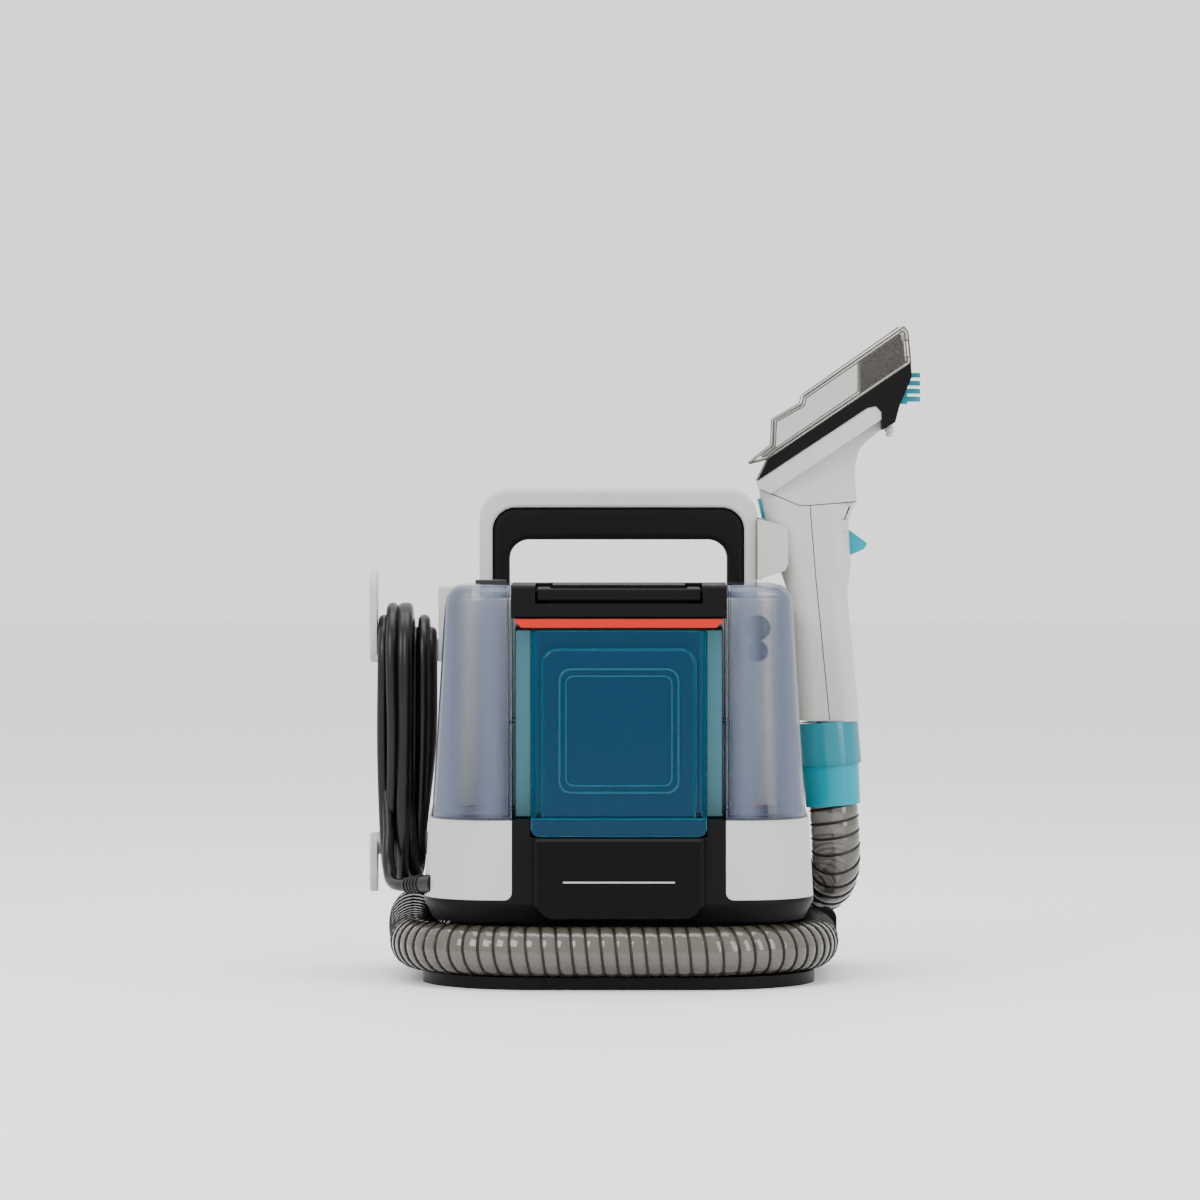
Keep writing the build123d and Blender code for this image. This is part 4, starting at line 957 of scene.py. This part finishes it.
@dataclass
class EdgeGlow:
    """Dense edges of the clear mouldings, where light is caught along a corner."""

    angle: float = 0.6
    radius: float = 0.42
    shortest: float = 0.6
    weld: float = 0.01
    sides: int = 6

    def build(self, nodes: dict[str, bpy.types.Object]) -> None:
        """Makes the edges.

        Args:
            nodes: The CAD nodes by name.
        """
        for node, finish, slot, body in (("clean_tank_body", Finish.RIB, "clear_tank", "clean_tank"),
                                         ("dirty_tank_body", Finish.EMBOSS, "teal_tank", "dirty_tank"),
                                         ("suction_window", Finish.AMBER, "window_clear", "tool_head")):
            self.trace(nodes[node], Maker(f"{node}_edges"), finish, body)

    def trace(self, node: bpy.types.Object, maker: Maker, finish: Finish, body: str) -> None:
        """Lays a thin round bead along each sharp edge of a moulding.

        Args:
            node: The moulding.
            maker: The new piece.
            finish: The bead's finish.
            body: The body it moves with.
        """
        shape = bmesh.new()
        shape.from_mesh(node.data)
        bmesh.ops.remove_doubles(shape, verts=list(shape.verts), dist=self.weld * MM)
        sharp = [edge for edge in shape.edges if edge.calc_face_angle(0.0) > self.angle
                 and edge.calc_length() > self.shortest * MM]
        for edge in sharp:
            start, stop = (tuple(vert.co / MM) for vert in edge.verts)
            maker.drum(start, stop, self.radius, sides=self.sides)
        LOG.info("%s: %d edges", maker.name, len(sharp))
        shape.free()
        maker.done(finish, body)


@dataclass
class ToolDetail:
    """Inner liner of the suction head and seams on the grip."""

    origin: Point = (140.7, 45.0, 108.0)
    half_depth: float = 18.0
    liner: tuple[Pair, ...] = ((16.5, 269.6), (45.0, 288.9), (42.4, 308.2), (16.5, 290.0))
    liner_half: Pair = (30.6, 37.6)
    liner_edge: float = 1.5
    seams: tuple[Pair, ...] = ((-15.9, 196.4), (-12.0, 148.1), (-2.9, 56.5))
    neck: tuple[Pair, ...] = ((-48.4, 207.3), (-23.05, 196.4), (-15.9, 196.4), (13.8, 198.8))
    seam_radius: float = 0.32
    seam_sunk: float = 0.12

    def spot(self, x: float, y: float, z: float) -> Point:
        """A point given from the cuff's lower centre, in the machine's frame."""
        return (self.origin[0] + x, self.origin[1] + y, self.origin[2] + z)

    def build(self) -> None:
        """Makes the pieces."""
        self.head_liner()
        self.grip_seams()

    def head_liner(self) -> None:
        """Black liner behind the front half of the clear window."""
        maker = Maker("head_liner")
        made = bmesh.ops.create_cube(maker.mesh, size=2.0)
        for vert in made["verts"]:
            front, high = vert.co.x > 0, vert.co.z > 0
            x, z = self.liner[(2 if high else 1) if front else (3 if high else 0)]
            half = self.liner_half[1 if front else 0]
            vert.co = metres(self.spot(x, half * vert.co.y, z))
        bevelled(maker.mesh, list(maker.mesh.edges), self.liner_edge, 3)
        maker.done(Finish.BLACK, "tool_head")

    def grip_seams(self) -> None:
        """Shadow gaps between the grip's two shells and under the head."""
        maker = Maker("grip_seams")
        for side in (-1, 1):
            y = side * (self.half_depth - self.seam_sunk)
            for row in (self.seams, self.neck):
                for start, stop in zip(row, row[1:]):
                    maker.drum(self.spot(start[0], y, start[1]), self.spot(stop[0], y, stop[1]),
                               self.seam_radius, sides=8)
        maker.done(Finish.SEAM, "wand")


@dataclass
class PortPlate:
    """Black discs at the two round ports on the plate behind the clean tank: painted shade in their openings.
    """

    x: float = 90.0
    faces: Pair = (-0.9, 0.1)
    ports: tuple[Pair, ...] = ((225.5, 8.3), (210.6, 6.9))

    def build(self) -> None:
        """Makes the two discs of painted port shade."""
        maker = Maker("gauge_port_shade")
        for z, radius in self.ports:
            maker.drum((self.x, self.faces[0], z), (self.x, self.faces[1], z), radius, edge=0.3, sides=40)
        maker.done(Finish.BLACK, "chassis")


@dataclass
class LeadDetail:
    """Moulded ribs on the plug and the strain relief."""

    gland: Point = (-136.0, -45.0, 62.0)
    heading: Point = (0.6276, -0.7724, 0.0966)
    relief_ribs: tuple[float, ...] = (1.0, 4.5, 8.0, 11.5, 15.0)
    relief_width: float = 2.0
    relief_radius: float = 4.6
    relief_taper: float = 0.065
    relief_proud: float = 0.8
    plug: Point = (-137.5, 82.0, 92.0)
    grip_ribs: int = 5
    grip_start: float = 9.0
    grip_pitch: float = 4.0
    grip_half: Point = (0.6, 8.0, 2.0)
    grip_side: float = 10.0
    neck_ribs: int = 3
    neck_span: Pair = (35.5, 37.0)
    neck_pitch: float = 3.0
    neck_radius: float = 5.9
    neck_taper: float = 0.25

    def build(self) -> None:
        """Makes the ribs."""
        self.strain_relief()
        self.plug_body()

    def strain_relief(self) -> None:
        """Rings round the tapered strain relief."""
        maker = Maker("strain_relief_ribs")
        for reach in self.relief_ribs:
            start, stop = (tuple(place + turn * along for place, turn in zip(self.gland, self.heading))
                           for along in (reach, reach + self.relief_width))
            maker.drum(start, stop, self.relief_radius + reach * self.relief_taper + self.relief_proud,
                       edge=0.5, sides=28)
        maker.done(Finish.CORD, "chassis")

    def plug_body(self) -> None:
        """Grip ribs on the plug's sides and rings on its neck."""
        x, y, low = self.plug
        thick, deep, tall = self.grip_half
        maker = Maker("plug_ribs")
        for step in range(self.grip_ribs):
            z = low + self.grip_start + step * self.grip_pitch
            for side in (-1, 1):
                face = x + side * self.grip_side
                maker.block((face - thick, y - deep, z), (face + thick, y + deep, z + tall), 0.5, 2)
        for step in range(self.neck_ribs):
            start, stop = ((x, y, low + end + step * self.neck_pitch) for end in self.neck_span)
            maker.drum(start, stop, self.neck_radius - step * self.neck_taper, edge=0.4, sides=28)
        maker.done(Finish.CORD, "chassis")


@dataclass
class ScrewSlots:
    """Cross slots in the tower's screw heads."""

    half: float = 66.0
    heights: Pair = (125.0, 203.0)
    head_y: float = 82.0
    sunk: float = 0.4
    proud: float = 0.12
    slot: Pair = (2.1, 0.45)

    def build(self) -> None:
        """Makes the slots."""
        maker = Maker("screw_slots")
        front, back = self.head_y - self.sunk, self.head_y + self.proud
        for x in (-self.half, self.half):
            for z in self.heights:
                for wide, tall in (self.slot, self.slot[::-1]):
                    maker.block((x - wide, front, z - tall), (x + wide, back, z + tall), 0.1, 1)
        maker.done(Finish.SEAM, "chassis")


@dataclass
class BadgeLine:
    """Plain bright line across the front badge."""

    half: float = 35.5
    depth: Pair = (-104.2, -103.0)
    height: Pair = (67.6, 68.7)

    def build(self) -> None:
        """Makes the line."""
        maker = Maker("badge_line")
        maker.block((-self.half, self.depth[0], self.height[0]), (self.half, self.depth[1], self.height[1]),
                    0.25, 2)
        maker.done(Finish.LINE, "chassis")


# ------------------------------------------------------------------ studio
@dataclass
class Studio:
    """Floor, lights and camera."""

    aim: Point = (-12.0, 20.0, 243.0)
    distance: float = 4.5
    elevation: float = 2.0
    lens: float = 207.5
    lamp_aim: Point = (0.0, 0.0, 180.0)
    sky: float = 1.55
    floor_half: float = 6.0
    floor_tones: tuple[Colour, Colour] = ((0.88, 0.88, 0.88), (0.90, 0.90, 0.90))
    floor_roughness: float = 0.6
    lamps: tuple[tuple[str, Point, Pair, float], ...] = (
        ("key", (-1300, -1500, 1500), (1.2, 1.2), 34.0), ("fill", (1500, -1200, 900), (0.7, 1.6), 20.0),
        ("top", (0, 200, 1900), (1.6, 1.2), 24.0))

    def camera(self) -> None:
        """Makes the camera and gives it to the scene."""
        data = bpy.data.cameras.new("camera")
        data.lens, data.sensor_width = self.lens, 36.0
        data.clip_start, data.clip_end = 0.05, 50.0
        camera = new_object("camera", data)
        rise = math.radians(self.elevation)
        back = Vector((0.0, -math.cos(rise), math.sin(rise)))
        camera.location = metres(self.aim) + back * self.distance
        camera.rotation_euler = (-back).to_track_quat("-Z", "Y").to_euler()
        bpy.context.scene.camera = camera

    def lamp(self, name: str, place: Point, size: Pair, power: float) -> None:
        """Adds one soft rectangular light that faces the machine.

        Args:
            name: Its name.
            place: Where it stands, in millimetres.
            size: Its width and height, in metres.
            power: Its power, in watts.
        """
        data = bpy.data.lights.new(name, "AREA")
        data.shape, data.size, data.size_y, data.energy = "RECTANGLE", size[0], size[1], power
        light = new_object(name, data)
        light.location = metres(place)
        light.rotation_euler = (metres(self.lamp_aim) - light.location).to_track_quat("-Z", "Y").to_euler()

    def build(self) -> None:
        """Makes the floor, the world and the lights."""
        mesh = bmesh.new()
        bmesh.ops.create_grid(mesh, x_segments=1, y_segments=1, size=self.floor_half)
        data = bpy.data.meshes.new("studio_floor")
        mesh.to_mesh(data)
        mesh.free()
        graph = Graph("pale_floor")
        data.materials.append(graph.close({"Base Color": graph.mix(graph.noise(400.0), *self.floor_tones),
                                           "Roughness": self.floor_roughness}))
        new_object("studio_floor", data)
        world = bpy.data.worlds.new("studio")
        world.use_nodes = True
        background = world.node_tree.nodes["Background"]
        background.inputs["Color"].default_value = (1.0, 1.0, 1.0, 1.0)
        background.inputs["Strength"].default_value = self.sky
        bpy.context.scene.world = world
        for lamp in self.lamps:
            self.lamp(*lamp)


def dress_nodes(nodes: dict[str, bpy.types.Object], record: dict) -> None:
    """Gives each CAD node its finish.

    Args:
        nodes: The CAD nodes by name.
        record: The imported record.
    """
    slots = {part["node"]: part["material_slot"] for part in record["subparts"]}
    for name, node in nodes.items():
        finish = NODE_FINISH.get(name) or SLOT_FINISH[slots[name]]
        for slot in node.material_slots:
            slot.material = finish.material()
        LOG.info("dressed %s with %s", name, finish.name.lower())


def main() -> None:
    """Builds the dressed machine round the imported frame."""
    logging.basicConfig(level=logging.INFO, format="%(name)s: %(message)s")
    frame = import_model()
    studio = Studio()
    studio.camera()
    MainsLead().build(frame["nodes"])
    Hose().build()
    dress_nodes(frame["nodes"], frame["record"])
    TankDetail().build()
    EdgeGlow().build(frame["nodes"])
    for detail in (ToolDetail(), PortPlate(), LeadDetail(), ScrewSlots(), BadgeLine()):
        detail.build()
    studio.build()


if __name__ == "__main__":
    main()
